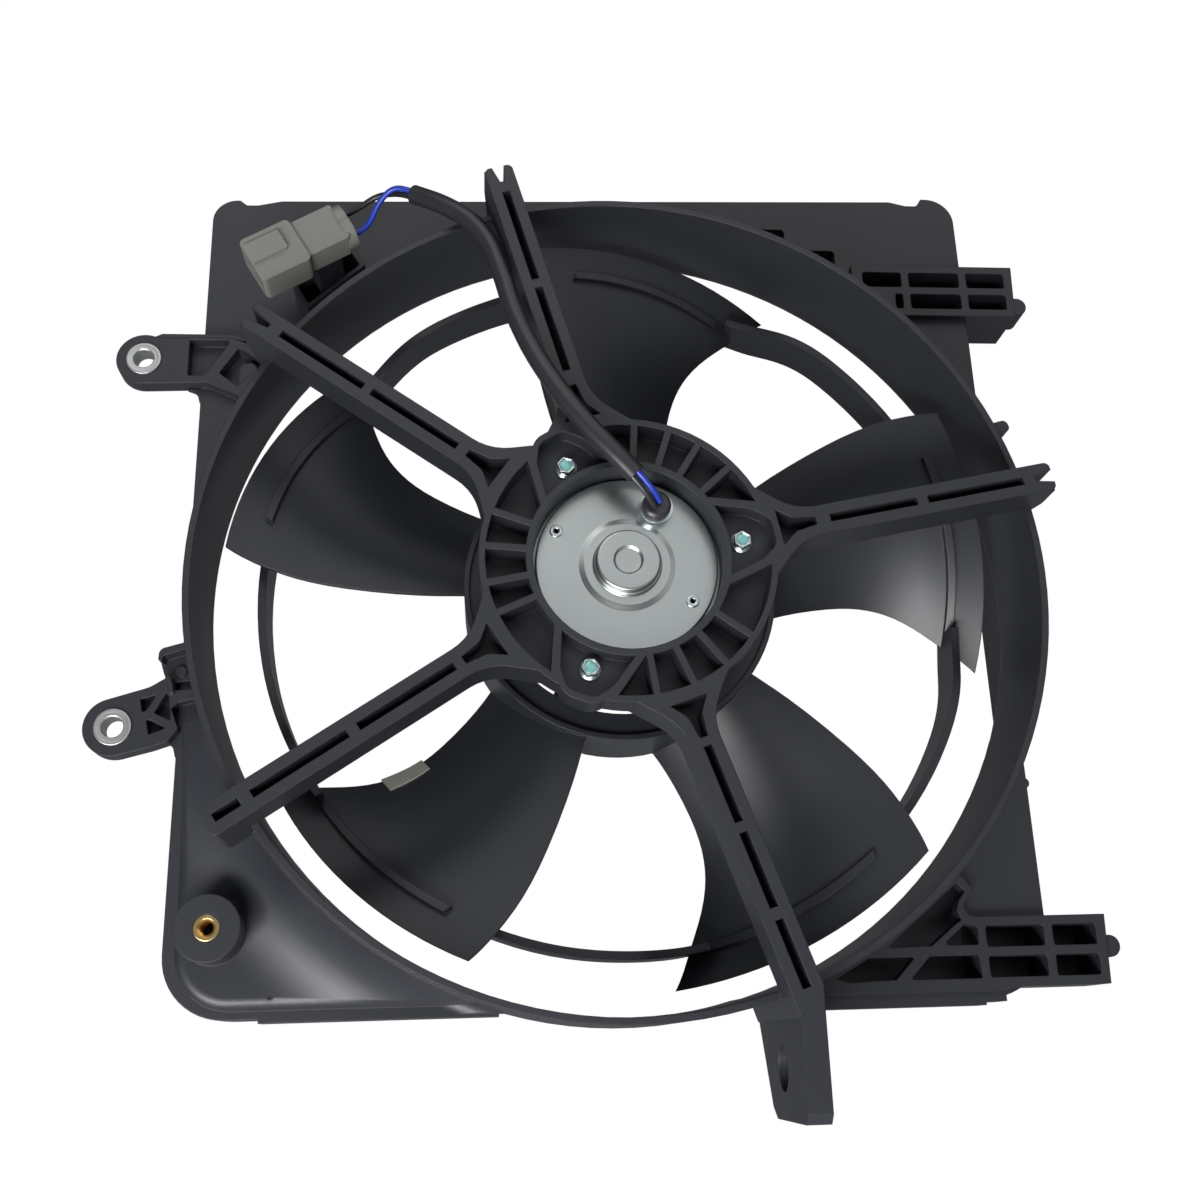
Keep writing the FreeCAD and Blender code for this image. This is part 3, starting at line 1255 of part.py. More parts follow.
def build_fan():
    """Make the hub, blades and hoop of the fan wheel, its nut and its balance clip."""
    hub = turned("fan_hub", [
        ("shaft_radius", "-(hub_back_depth + 9)"),
        ("hub_boss_radius", "-(hub_back_depth + 9)"),
        ("hub_boss_radius", "-(hub_back_depth + 2.8)"),
        ("hub_mouth", "-(hub_back_depth + 2.8)"),
        ("hub_mouth", "-(hub_front_depth - hub_floor_sink)"),
        ("hub_radius - hub_wall", "-(hub_front_depth - hub_floor_sink)"),
        ("hub_radius - hub_wall", "-hub_front_depth"),
        ("hub_radius", "-hub_front_depth"),
        ("hub_radius", "-hub_back_depth"),
        ("hub_radius - hub_wall", "-hub_back_depth"),
        ("hub_radius - hub_wall", "-(hub_front_depth - hub_floor_sink - 2.2)"),
        ("hub_mouth + 2", "-(hub_front_depth - hub_floor_sink - 2.2)"),
        ("hub_mouth + 2", "-hub_back_depth"),
        ("shaft_radius", "-hub_back_depth")])
    windows = []
    for number in range(BLADE_COUNT):
        middle = BLADE_ANGLES[0] + 36 + number * 360 / BLADE_COUNT
        inner = value("hub_boss_radius") + 16
        outer = value("hub_mouth") - 1.5
        corners = [local(middle, inner, -10) + (3,), local(middle, outer - 4, -24) + (3,),
                   local(middle, outer, 0), local(middle, outer - 4, 24) + (3,), local(middle, inner, 10) + (3,)]
        windows.append(shaped("hub_window_%d" % (number + 1),
                              prism(corners, value("hub_back_depth") + 4, value("hub_back_depth") - 1)))
    spider = cut("hub_spider", hub, grouped("hub_windows", windows))
    ribs = []
    for number in range(BLADE_COUNT * 3):
        degrees = BLADE_ANGLES[0] + number * 360 / (BLADE_COUNT * 3)
        inner = value("hub_mouth") + 1.6
        outer = value("hub_radius - hub_wall") + 0.4
        corners = [local(degrees, inner, -0.9), local(degrees, outer, -0.9),
                   local(degrees, outer, 0.9), local(degrees, inner, 0.9)]
        ribs.append(shaped("hub_rib_%d" % (number + 1),
                           prism(corners, value("hub_front_depth - hub_floor_sink - 2"), value("hub_back_depth"))))
    half = value("blade_thickness") / 2
    shares = [step / CHORD_STEPS for step in range(CHORD_STEPS + 1)]
    blades = []
    hoop = []
    ring = drum(value("ring_radius"), 70, 0).cut(drum(value("ring_radius - ring_wall"), 71, -1))
    inner = value("ring_radius - ring_wall") - 4
    outer = value("ring_radius") + 4
    ridge_stations = [station_at(inner), station_at(outer)]
    ridge_shares = [step * 0.8 / CHORD_STEPS for step in range(CHORD_STEPS + 1)]
    for number, phase in enumerate(BLADE_ANGLES, start=1):
        following = BLADE_ANGLES[number % BLADE_COUNT]
        blades.append(shaped("blade_%d" % number, patch_solid(BLADE_STATIONS, shares, phase, -half, half)))
        length = hoop_length(phase, (following - phase) % 360, inner, outer)
        hoop.append(shaped("hoop_length_%d" % number, ring.common(length)))
        ridge = patch_solid(ridge_stations, ridge_shares, phase, 0, value("ring_ridge") + half)
        hoop.append(shaped("hoop_ridge_%d" % number, ring.common(ridge)))
    ribbed_hub = joined("ribbed_hub", [spider] + ribs)
    bladed_hub = joined("bladed_hub", [ribbed_hub] + blades, merge_faces=False)
    keep(joined("fan_wheel", [bladed_hub] + hoop, merge_faces=False), "fan_wheel")

    keep(turned("fan_washer", [
        ("shaft_radius", "-hub_back_depth"), ("washer_radius", "-hub_back_depth"),
        ("washer_radius", "-(hub_back_depth - washer_thickness)"),
        ("shaft_radius", "-(hub_back_depth - washer_thickness)")]), "fan_washer")
    blank = doc.addObject("Part::Prism", "fan_nut_blank")
    blank.Polygon = 6
    bind(blank, Circumradius="nut_across / 1.732", Height="nut_height")
    place(blank, "0", "-(hub_back_depth - washer_thickness)", "0", ALONG_Y)
    bore = rod("fan_nut_bore", "shaft_radius", "hub_back_depth + 1", "hub_back_depth - nut_height - 4")
    keep(cut("fan_nut_body", blank, bore), "fan_nut")

    clip_stations = [station_at(radius) for radius in (104.0, 110.0, 116.0, 122.0)]
    phase = BLADE_ANGLES[-1]
    pad = patch_solid(clip_stations, (-0.012, 0.02, 0.05, 0.08), phase, -half - 0.6, half + 0.6)
    blade = patch_solid(BLADE_STATIONS, shares, phase, -half, half)
    keep(shaped("balance_clip_body", pad.cut(blade)), "balance_clip")


def station_at(radius):
    """Return a blade station at any radius, between the stations that are given."""
    for inner, outer in zip(BLADE_STATIONS[:-1], BLADE_STATIONS[1:]):
        if inner[0] <= radius <= outer[0]:
            share = (radius - inner[0]) / (outer[0] - inner[0])
            return (radius, inner[1] + (outer[1] - inner[1]) * share, inner[2] + (outer[2] - inner[2]) * share)
    return BLADE_STATIONS[-1]


# Lead

# Points along the middle of the lead, from the grommet to the sleeving, through it and out to the connector
LEAD_START = ((12.0, -85.6, 22.2), (9.0, -90.0, 25.2))
LEAD_COVERED = (
    (3.0, -94.0, 31.2),
    (-5.4, -95.6, 40.0),
    (-15.0, -95.6, 50.8),
    (-26.4, -94.4, 67.2),
    (-36.2, -91.0, 86.0),
    (-43.4, -86.0, 106.4),
    (-47.8, -82.0, 126.6),
    (-53.2, -79.2, 144.6),
    (-61.9, -76.8, 156.9),
    (-73.2, -72.8, 166.6),
    (-85.6, -66.8, 175.2),
)
BLUE_END = ((-94.6, -65.0, 180.4), (-101.6, -60.0, 175.4))
BLACK_END = ((-93.4, -61.4, 179.4), (-102.6, -56.8, 181.2))
WAY_SPACING = 10.4
CONNECTOR_PLACE = (-135.1, 155.7)
CONNECTOR_SLOPE = 30.5
CONNECTOR_HALF_HEIGHT = 7.25
WAY_PLACES = (-WAY_SPACING / 2, WAY_SPACING / 2)


def connector_frame():
    """Return the place and slope of the connector."""
    centre = Vector(CONNECTOR_PLACE[0], -value("connector_depth"), CONNECTOR_PLACE[1])
    return Placement(centre, Rotation(Vector(0, 1, 0), -CONNECTOR_SLOPE))


def filleted_path(points):
    """Join straight runs with tangent arcs, each as large as its two runs allow."""
    edges = []
    here = points[0]
    smallest = None
    for index in range(1, len(points) - 1):
        corner = points[index]
        into = (points[index - 1] - corner)
        out = (points[index + 1] - corner)
        shorter = min(into.Length, out.Length)
        into.normalize()
        out.normalize()
        half_turn = (math.pi - into.getAngle(out)) / 2
        reach = 0.45 * shorter
        radius = reach / math.tan(half_turn)
        smallest = radius if smallest is None else min(smallest, radius)
        first = corner + into * reach
        last = corner + out * reach
        middle = corner + (into + out).normalize() * (radius / math.cos(half_turn) - radius)
        edges.append(Part.LineSegment(here, first).toShape())
        edges.append(Part.Arc(first, middle, last).toShape())
        here = last
    edges.append(Part.LineSegment(here, points[-1]).toShape())
    print("tightest bend of the lead: %.1f mm" % smallest)
    return Part.Wire(edges)


def tube(points, radius):
    """Make a round solid along a path of runs and arcs."""
    path = filleted_path(points)
    start = points[0]
    direction = points[1] - points[0]
    ring = Part.Wire(Part.makeCircle(radius, start, direction))
    solid = path.makePipeShell([ring], True, False)
    expected = math.pi * radius * radius * path.Length
    if abs(solid.Volume - expected) > 0.02 * expected:
        raise ValueError("the lead's tube is not the size of its path")
    return solid


def beside(points, gap):
    """Shift a route sideways, square to its run and to the fan's axis."""
    shifted = []
    for index, point in enumerate(points):
        before = points[max(index - 1, 0)]
        after = points[min(index + 1, len(points) - 1)]
        run = after - before
        side = run.cross(Vector(0, 1, 0)).normalize()
        shifted.append(point + side * gap)
    return shifted


def build_lead():
    """Make the grommet, collar, wires, sleeving and connector of the motor's lead."""
    keep(turned_at("lead_collar", [
        ("grommet_radius", "-(motor_face_depth + collar_height)"),
        ("collar_radius", "-(motor_face_depth + collar_height)"),
        ("collar_radius", "-motor_face_depth"),
        ("grommet_radius", "-motor_face_depth")], "grommet_right", "grommet_up"), "lead_collar")
    grommet = turned_at("grommet_blank", [
        ("0", "-(motor_face_depth + grommet_height)"),
        ("grommet_radius - 1", "-(motor_face_depth + grommet_height)"),
        ("grommet_radius", "-(motor_face_depth + grommet_height - 1)"),
        ("grommet_radius", "-motor_face_depth"),
        ("grommet_radius - 1.4", "-motor_face_depth"),
        ("grommet_radius - 1.4", "-(motor_face_depth - end_plate_thickness - 2)"),
        ("0", "-(motor_face_depth - end_plate_thickness - 2)")], "grommet_right", "grommet_up")
    keep(grommet, "lead_grommet")
    start = [Vector(*point) for point in LEAD_START]
    covered = [Vector(*point) for point in LEAD_COVERED]
    half = value("wire_spacing") / 2
    frame = connector_frame()
    for label, side, ends in (("blue_wire", -1, BLUE_END), ("black_wire", 1, BLACK_END)):
        across = side * WAY_SPACING / 2
        way = [frame.multVec(Vector(along, 0, across)) for along in (30.5, 19.05)]
        path = beside(start + covered, side * half) + [Vector(*point) for point in ends] + way
        keep(shaped(label + "_tube", tube(path, value("wire_radius"))), label)
    outer = tube(covered, value("sleeving_radius"))
    inner = tube(covered, value("sleeving_radius - sleeving_wall"))
    keep(shaped("lead_sleeving_tube", outer.cut(inner)), "lead_sleeving")
    build_connector()


def turned_at(name, corners, x, z):
    """Turn an outline about an axis beside the fan's."""
    body = turned(name, corners)
    place(body, x, "0", z)
    return body


def build_connector():
    """Make the two-way connector: housing, rear cap, terminals and seal."""
    def block(along_from, along_to, across_from, across_to, front, back, corner=1.0):
        corners = [(along_from, across_from, corner), (along_to, across_from, corner),
                   (along_to, across_to, corner), (along_from, across_to, corner)]
        solid = prism(corners, front, back)
        solid.Placement = connector_frame().multiply(solid.Placement)
        return solid

    half = CONNECTOR_HALF_HEIGHT
    mouth = block(-23, 0.5, -11.3, 11.3, half, -half, 2.2)
    barrel = block(0, 20, -9.3, 9.3, half - 0.9, 1 - half, 1.2)
    collar = []
    for across in (-2.6, 2.6):
        stub = Part.makeCylinder(7.6, 4.5, Vector(19, 0, across), Vector(1, 0, 0))
        stub.Placement = connector_frame().multiply(stub.Placement)
        collar.append(stub)
    latch = block(-23, -5.8, -2.3, 7.8, half + 1.4, half - 1, 1.0)
    cavity = block(-24, -6, -9.6, 9.6, half - 1.7, 1.7 - half, 1.4)
    ways = [block(-7, 26, across - 3.2, across + 3.2, 3.2, -3.2, 0.5) for across in WAY_PLACES]
    housing = mouth.fuse([barrel, latch] + collar).cut(cavity).cut(ways[0]).cut(ways[1])
    keep(shaped("connector_housing_body", housing), "connector_housing")
    seals = []
    blades = []
    for way in WAY_PLACES:
        seal = block(19, 23.5, way - 3.1, way + 3.1, 3.1, -3.1, 0.4)
        bore = Part.makeCylinder(value("wire_radius") + 0.02, 8, Vector(17, 0, way), Vector(1, 0, 0))
        bore.Placement = connector_frame().multiply(bore.Placement)
        seals.append(seal.cut(bore))
        blades.append(block(-20, 19, way - 1.4, way + 1.4, 0.4, -0.4, 0.2))
    keep(shaped("connector_seal_body", Part.Compound(seals)), "connector_seals")
    keep(shaped("connector_terminal_body", Part.Compound(blades)), "connector_terminals")


build_shroud()
build_sleeves()
build_motor_case()
build_motor_works()
build_fan()
build_lead()

doc.recompute()
for item in doc.Objects:
    if "Invalid" in item.State or "Error" in item.State:
        raise ValueError("%s is not built: %s" % (item.Name, item.State))
os.makedirs("parts", exist_ok=True)
for item in nodes:
    shape = item.Shape
    if shape.isNull() or not shape.isValid():
        raise ValueError("%s has no valid shape" % item.Label)
    print("%-22s solids %d  volume %.0f" % (item.Label, len(shape.Solids), shape.Volume))
    shape.exportStep("parts/%s.step" % item.Label)
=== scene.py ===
"""Looks of a radiator cooling fan: moulded shroud, motor, five-blade fan and plug-ended lead."""

import logging
import math
from dataclasses import dataclass, field
from enum import Enum

import bmesh
import bpy
from mathutils import Matrix, Vector

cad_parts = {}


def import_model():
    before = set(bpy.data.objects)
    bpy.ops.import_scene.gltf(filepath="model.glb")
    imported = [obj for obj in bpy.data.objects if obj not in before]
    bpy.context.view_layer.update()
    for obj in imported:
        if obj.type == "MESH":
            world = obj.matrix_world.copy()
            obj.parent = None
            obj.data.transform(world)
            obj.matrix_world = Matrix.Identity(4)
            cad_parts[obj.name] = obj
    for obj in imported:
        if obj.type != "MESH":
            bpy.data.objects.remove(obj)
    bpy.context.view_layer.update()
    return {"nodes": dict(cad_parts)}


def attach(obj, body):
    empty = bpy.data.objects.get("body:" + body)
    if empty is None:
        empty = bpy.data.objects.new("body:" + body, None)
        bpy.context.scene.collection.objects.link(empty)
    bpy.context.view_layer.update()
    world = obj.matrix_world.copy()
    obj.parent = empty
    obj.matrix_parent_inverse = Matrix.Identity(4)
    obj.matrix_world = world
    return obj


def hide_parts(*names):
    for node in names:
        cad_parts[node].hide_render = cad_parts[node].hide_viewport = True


log = logging.getLogger("radiator_fan")
MM = 0.001
HOUSING = "housing"

# Dust on every finish: how much there is, and how much paler it is than the finish.
DUST_SHARE = 0.04
DUST_GAIN = 1.25
DUST_LIFT = 0.03

Point = tuple[float, float]
Place = tuple[float, float, float]
Part = bmesh.types.BMVert | bmesh.types.BMEdge | bmesh.types.BMFace


class Surface(Enum):
    """How a finish breaks up the light that falls on it."""

    GRAINED = "grained"
    TURNED = "turned"
    PLATED = "plated"
    SMOOTH = "smooth"


@dataclass(frozen=True)
class Finish:
    """One material of the fan, with the size and strength of its surface detail.

    Args:
        name: the finish's name in maker's words.
        colour: its base colour, linear.
        roughness: how rough it is, from 0 to 1.
        metallic: 1 for bare metal and 0 for anything else.
        surface: how its surface breaks up the light.
        grain_size: distance between grains, in metres.
        grain_depth: depth of the grain, in metres.
        mottle: how much its roughness wanders over the surface.
        edge: radius of the light that catches a rounded edge, in metres.
        coat: weight of a clear coat.
    """

    name: str
    colour: Place
    roughness: float
    metallic: float = 0.0
    surface: Surface = Surface.SMOOTH
    grain_size: float = 0.0012
    grain_depth: float = 0.00003
    mottle: float = 0.05
    edge: float = 0.0004
    coat: float = 0.0


SHROUD_PLASTIC = Finish("shroud_plastic", (0.0135, 0.0146, 0.0192), 0.46, 0.0, Surface.GRAINED,
                        0.0011, 0.000022, mottle=0.06, edge=0.0007)
FAN_PLASTIC = Finish("fan_plastic", (0.0115, 0.0128, 0.0172), 0.40, 0.0, Surface.GRAINED,
                     0.0009, 0.000014, mottle=0.07, edge=0.0006)
SLEEVE_ALUMINIUM = Finish("sleeve_aluminium", (0.50, 0.505, 0.50), 0.42, 1.0, Surface.TURNED,
                          0.0004, 0.00001)
INSERT_BRASS = Finish("insert_brass", (0.72, 0.52, 0.24), 0.28, 1.0, Surface.TURNED, 0.0005, 0.00002)
MOTOR_STEEL = Finish("motor_steel", (0.44, 0.47, 0.47), 0.34, 1.0, Surface.PLATED, 0.0016, 0.000008,
                     mottle=0.10)
END_PLATE = Finish("end_plate_steel", (0.44, 0.47, 0.46), 0.30, 1.0, Surface.PLATED, 0.0016, 0.000006,
                   mottle=0.06, edge=0.0003)
SCREW_ZINC = Finish("screw_zinc", (0.60, 0.66, 0.66), 0.30, 1.0, Surface.PLATED, 0.0008, 0.000006,
                    edge=0.0003)
SCREW_TEAL = Finish("screw_teal", (0.22, 0.50, 0.48), 0.34, 0.6, Surface.PLATED, 0.0008, 0.000006,
                    edge=0.0003)
SHAFT_STEEL = Finish("shaft_steel", (0.55, 0.55, 0.56), 0.25, 1.0, Surface.TURNED, 0.0004, 0.000006)
BEARING_BRONZE = Finish("bearing_bronze", (0.50, 0.33, 0.16), 0.45, 1.0, Surface.GRAINED, 0.0004, 0.00001)
MAGNET_FERRITE = Finish("magnet_ferrite", (0.05, 0.05, 0.055), 0.55, 0.0, Surface.GRAINED,
                        0.0006, 0.00002)
CORE_STEEL = Finish("core_steel", (0.30, 0.31, 0.32), 0.42, 1.0, Surface.TURNED, 0.0005, 0.00003)
WINDING_COPPER = Finish("winding_copper", (0.50, 0.19, 0.07), 0.32, 0.9, Surface.TURNED, 0.0008, 0.0001,
                        coat=0.5)
BRUSH_CARBON = Finish("brush_carbon", (0.03, 0.03, 0.032), 0.6, 0.0, Surface.GRAINED, 0.0005, 0.00002)
CARD_PLASTIC = Finish("card_plastic", (0.12, 0.05, 0.02), 0.45)
LEAD_RUBBER = Finish("lead_rubber", (0.018, 0.018, 0.021), 0.36, 0.0, Surface.SMOOTH, 0.002, 0.00002,
                     mottle=0.08)
BLUE_INSULATION = Finish("blue_insulation", (0.012, 0.035, 0.32), 0.34, 0.0, Surface.SMOOTH,
                         0.002, 0.00002)
BLACK_INSULATION = Finish("black_insulation", (0.014, 0.014, 0.016), 0.34, 0.0, Surface.SMOOTH,
                          0.002, 0.00002)
CONNECTOR_PLASTIC = Finish("connector_plastic", (0.155, 0.160, 0.142), 0.50, 0.0, Surface.GRAINED,
                           0.0009, 0.00002, edge=0.0006)
SEAL_RUBBER = Finish("seal_rubber", (0.35, 0.06, 0.03), 0.4)
TERMINAL_TIN = Finish("terminal_tin", (0.60, 0.58, 0.52), 0.3, 1.0, Surface.PLATED, 0.0006, 0.000005)
CLIP_STEEL = Finish("clip_steel", (0.52, 0.50, 0.43), 0.42, 0.7, Surface.PLATED, 0.0008, 0.00001)


NODE_FINISHES: dict[str, Finish] = {
    "shroud": SHROUD_PLASTIC,
    "upper_sleeve": SLEEVE_ALUMINIUM,
    "lower_sleeve": SLEEVE_ALUMINIUM,
    "threaded_insert": INSERT_BRASS,
    "motor_can": MOTOR_STEEL,
    "motor_end_plate": MOTOR_STEEL,
    "motor_flange": MOTOR_STEEL,
    "weld_nuts": SCREW_ZINC,
    "motor_screws": SCREW_ZINC,
    "plate_rivets": SCREW_ZINC,
    "front_bearing": BEARING_BRONZE,
    "rear_bearing": BEARING_BRONZE,
    "motor_magnets": MAGNET_FERRITE,
    "brush_holder": CARD_PLASTIC,
    "brushes": BRUSH_CARBON,
    "brush_springs": SHAFT_STEEL,
    "lead_collar": SCREW_ZINC,
    "lead_grommet": LEAD_RUBBER,
    "blue_wire": BLUE_INSULATION,
    "black_wire": BLACK_INSULATION,
    "lead_sleeving": LEAD_RUBBER,
    "connector_housing": CONNECTOR_PLASTIC,
    "connector_seals": SEAL_RUBBER,
    "connector_terminals": TERMINAL_TIN,
    "motor_shaft": SHAFT_STEEL,
    "armature_core": CORE_STEEL,
    "armature_winding": WINDING_COPPER,
    "commutator": WINDING_COPPER,
    "fan_wheel": FAN_PLASTIC,
    "fan_washer": SCREW_ZINC,
    "fan_nut": SCREW_ZINC,
    "balance_clip": CLIP_STEEL,
}


class FinishShop:
    """Makes each finish once, from node groups that the materials share."""

    def __init__(self) -> None:
        """Build the shared groups."""
        self.made: dict[str, bpy.types.Material] = {}
        self.grain = self.grain_group()
        self.wander = self.wander_group()
        self.dusting = self.dusting_group()

    def group(self, name: str, inputs: list[tuple[str, str, float]], outputs: list[tuple[str, str]]
              ) -> tuple[bpy.types.ShaderNodeTree, bpy.types.Node, bpy.types.Node]:
        """Start a node group.

        Args:
            name: the group's name.
            inputs: each input's name, socket type and default, which only a plain value takes.
            outputs: each output's name and socket type.

        Returns:
            The tree with its input and output nodes.
        """
        tree = bpy.data.node_groups.new(name, "ShaderNodeTree")
        for label, kind, default in inputs:
            socket = tree.interface.new_socket(label, in_out="INPUT", socket_type=kind)
            if kind == "NodeSocketFloat":
                socket.default_value = default
        for label, kind in outputs:
            tree.interface.new_socket(label, in_out="OUTPUT", socket_type=kind)
        return tree, tree.nodes.new("NodeGroupInput"), tree.nodes.new("NodeGroupOutput")

    def grain_group(self) -> bpy.types.ShaderNodeTree:
        """Make the fine leathery grain of a moulded or cast surface.

        Returns:
            A group that puts out the grain's height.
        """
        tree, given, out = self.group("moulded_grain", [("Position", "NodeSocketVector", 0.0),
                                                        ("Scale", "NodeSocketFloat", 900.0)],
                                      [("Height", "NodeSocketFloat")])
        cells = tree.nodes.new("ShaderNodeTexVoronoi")
        cells.feature = "SMOOTH_F1"
        cells.inputs["Smoothness"].default_value = 0.7
        noise = tree.nodes.new("ShaderNodeTexNoise")
        noise.inputs["Detail"].default_value = 3.0
        mix = tree.nodes.new("ShaderNodeMix")
        mix.inputs["Factor"].default_value = 0.45
        for texture in (cells, noise):
            tree.links.new(given.outputs["Position"], texture.inputs["Vector"])
            tree.links.new(given.outputs["Scale"], texture.inputs["Scale"])
        tree.links.new(cells.outputs["Distance"], mix.inputs["A"])
        tree.links.new(noise.outputs["Fac"], mix.inputs["B"])
        tree.links.new(mix.outputs["Result"], out.inputs["Height"])
        return tree

    def wander_group(self) -> bpy.types.ShaderNodeTree:
        """Make the slow wander of sheen over a large moulding.

        Returns:
            A group that puts out a value which wanders round its middle.
        """
        tree, given, out = self.group("sheen_wander", [("Position", "NodeSocketVector", 0.0),
                                                       ("Middle", "NodeSocketFloat", 0.5),
                                                       ("Spread", "NodeSocketFloat", 0.05)],
                                      [("Value", "NodeSocketFloat")])
        broad = tree.nodes.new("ShaderNodeTexNoise")
        broad.inputs["Scale"].default_value = 14.0
        broad.inputs["Detail"].default_value = 4.0
        ranged = tree.nodes.new("ShaderNodeMapRange")
        ranged.inputs["To Min"].default_value = -1.0
        scaled = tree.nodes.new("ShaderNodeMath")
        scaled.operation = "MULTIPLY_ADD"
        tree.links.new(given.outputs["Position"], broad.inputs["Vector"])
        tree.links.new(broad.outputs["Fac"], ranged.inputs["Value"])
        tree.links.new(ranged.outputs["Result"], scaled.inputs[0])
        tree.links.new(given.outputs["Spread"], scaled.inputs[1])
        tree.links.new(given.outputs["Middle"], scaled.inputs[2])
        tree.links.new(scaled.outputs["Value"], out.inputs["Value"])
        return tree

    def dusting_group(self) -> bpy.types.ShaderNodeTree:
        """Make the trace of pale dust that breaks up a dark surface.

        Returns:
            A group that puts out the dusted colour.
        """
        tree, given, out = self.group("shop_dust", [("Position", "NodeSocketVector", 0.0),
                                                    ("Colour", "NodeSocketColor", 0.0),
                                                    ("Dusted", "NodeSocketColor", 0.0),
                                                    ("Amount", "NodeSocketFloat", 0.05)],
                                      [("Colour", "NodeSocketColor")])
        specks = tree.nodes.new("ShaderNodeTexNoise")
        specks.inputs["Scale"].default_value = 60.0
        specks.inputs["Detail"].default_value = 8.0
        specks.inputs["Roughness"].default_value = 0.7
        ranged = tree.nodes.new("ShaderNodeMapRange")
        ranged.inputs["From Min"].default_value = 0.35
        ranged.inputs["From Max"].default_value = 0.75
        scaled = tree.nodes.new("ShaderNodeMath")
        scaled.operation = "MULTIPLY"
        mix = tree.nodes.new("ShaderNodeMix")
        mix.data_type = "RGBA"
        tree.links.new(given.outputs["Position"], specks.inputs["Vector"])
        tree.links.new(specks.outputs["Fac"], ranged.inputs["Value"])
        tree.links.new(ranged.outputs["Result"], scaled.inputs[0])
        tree.links.new(given.outputs["Amount"], scaled.inputs[1])
        tree.links.new(scaled.outputs["Value"], mix.inputs["Factor"])
        tree.links.new(given.outputs["Colour"], mix.inputs["A"])
        tree.links.new(given.outputs["Dusted"], mix.inputs["B"])
        tree.links.new(mix.outputs["Result"], out.inputs["Colour"])
        return tree

    def material(self, finish: Finish) -> bpy.types.Material:
        """Make a finish's material, or hand back the one already made.

        Args:
            finish: the finish wanted.

        Returns:
            Its material.
        """
        if finish.name in self.made:
            return self.made[finish.name]
        material = bpy.data.materials.new(finish.name)
        material.use_nodes = True
        nodes = material.node_tree.nodes
        links = material.node_tree.links
        shader = nodes["Principled BSDF"]
        shader.inputs["Metallic"].default_value = finish.metallic
        shader.inputs["Coat Weight"].default_value = finish.coat
        place = nodes.new("ShaderNodeTexCoord")

        dust = nodes.new("ShaderNodeGroup")
        dust.node_tree = self.dusting
        dust.inputs["Colour"].default_value = (*finish.colour, 1.0)
        pale = tuple(min(1.0, part * DUST_GAIN + DUST_LIFT) for part in finish.colour)
        dust.inputs["Dusted"].default_value = (*pale, 1.0)
        dust.inputs["Amount"].default_value = DUST_SHARE
        links.new(place.outputs["Object"], dust.inputs["Position"])
        links.new(dust.outputs["Colour"], shader.inputs["Base Color"])

        sheen = nodes.new("ShaderNodeGroup")
        sheen.node_tree = self.wander
        sheen.inputs["Middle"].default_value = finish.roughness
        sheen.inputs["Spread"].default_value = finish.mottle
        links.new(place.outputs["Object"], sheen.inputs["Position"])
        links.new(sheen.outputs["Value"], shader.inputs["Roughness"])

        height = self.height_of(finish, nodes, links, place)
        bump = nodes.new("ShaderNodeBump")
        bump.inputs["Strength"].default_value = 1.0
        bump.inputs["Distance"].default_value = finish.grain_depth
        rounded = nodes.new("ShaderNodeBevel")
        rounded.samples = 4
        rounded.inputs["Radius"].default_value = finish.edge
        links.new(height, bump.inputs["Height"])
        links.new(rounded.outputs["Normal"], bump.inputs["Normal"])
        links.new(bump.outputs["Normal"], shader.inputs["Normal"])
        self.made[finish.name] = material
        return material

    def height_of(self, finish: Finish, nodes: bpy.types.Nodes, links: bpy.types.NodeLinks,
                  place: bpy.types.Node) -> bpy.types.NodeSocket:
        """Lay the texture that a finish's bump follows.

        Args:
            finish: the finish being made.
            nodes: the material's nodes.
            links: the material's links.
            place: the texture coordinate node.

        Returns:
            The socket that gives the height.
        """
        scale = 1.0 / finish.grain_size
        if finish.surface is Surface.GRAINED:
            grain = nodes.new("ShaderNodeGroup")
            grain.node_tree = self.grain
            grain.inputs["Scale"].default_value = scale
            links.new(place.outputs["Object"], grain.inputs["Position"])
            return grain.outputs["Height"]
        noise = nodes.new("ShaderNodeTexNoise")
        noise.inputs["Scale"].default_value = scale
        if finish.surface is Surface.TURNED:
            stretch = nodes.new("ShaderNodeMapping")
            stretch.inputs["Scale"].default_value = (0.08, 1.0, 0.08)
            noise.inputs["Detail"].default_value = 2.0
            links.new(place.outputs["Object"], stretch.inputs["Vector"])
            links.new(stretch.outputs["Vector"], noise.inputs["Vector"])
            return noise.outputs["Fac"]
        noise.inputs["Detail"].default_value = 5.0
        links.new(place.outputs["Object"], noise.inputs["Vector"])
        return noise.outputs["Fac"]


def placed(name: str, data: bpy.types.ID) -> bpy.types.Object:
    """Make an object and put it in the scene.

    Args:
        name: the object's name.
        data: its mesh, camera or lamp.

    Returns:
        The new object, at the origin.
    """
    item = bpy.data.objects.new(name, data)
    bpy.context.scene.collection.objects.link(item)
    return item


def piece_from(shape: bmesh.types.BMesh, name: str, material: bpy.types.Material, body: str
               ) -> bpy.types.Object:
    """Turn a finished bmesh into a piece that rides on a body.

    Args:
        shape: the mesh, in place and in metres, which is used up.
        name: the piece's name.
        material: its material.
        body: the body it rides on.

    Returns:
        The new object.
    """
    mesh = bpy.data.meshes.new(name)
    bmesh.ops.recalc_face_normals(shape, faces=shape.faces)
    shape.to_mesh(mesh)
    shape.free()
    mesh.materials.append(material)
    item = placed(name, mesh)
    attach(item, body)
    log.info("piece %s with %d faces", name, len(mesh.polygons))
    return item


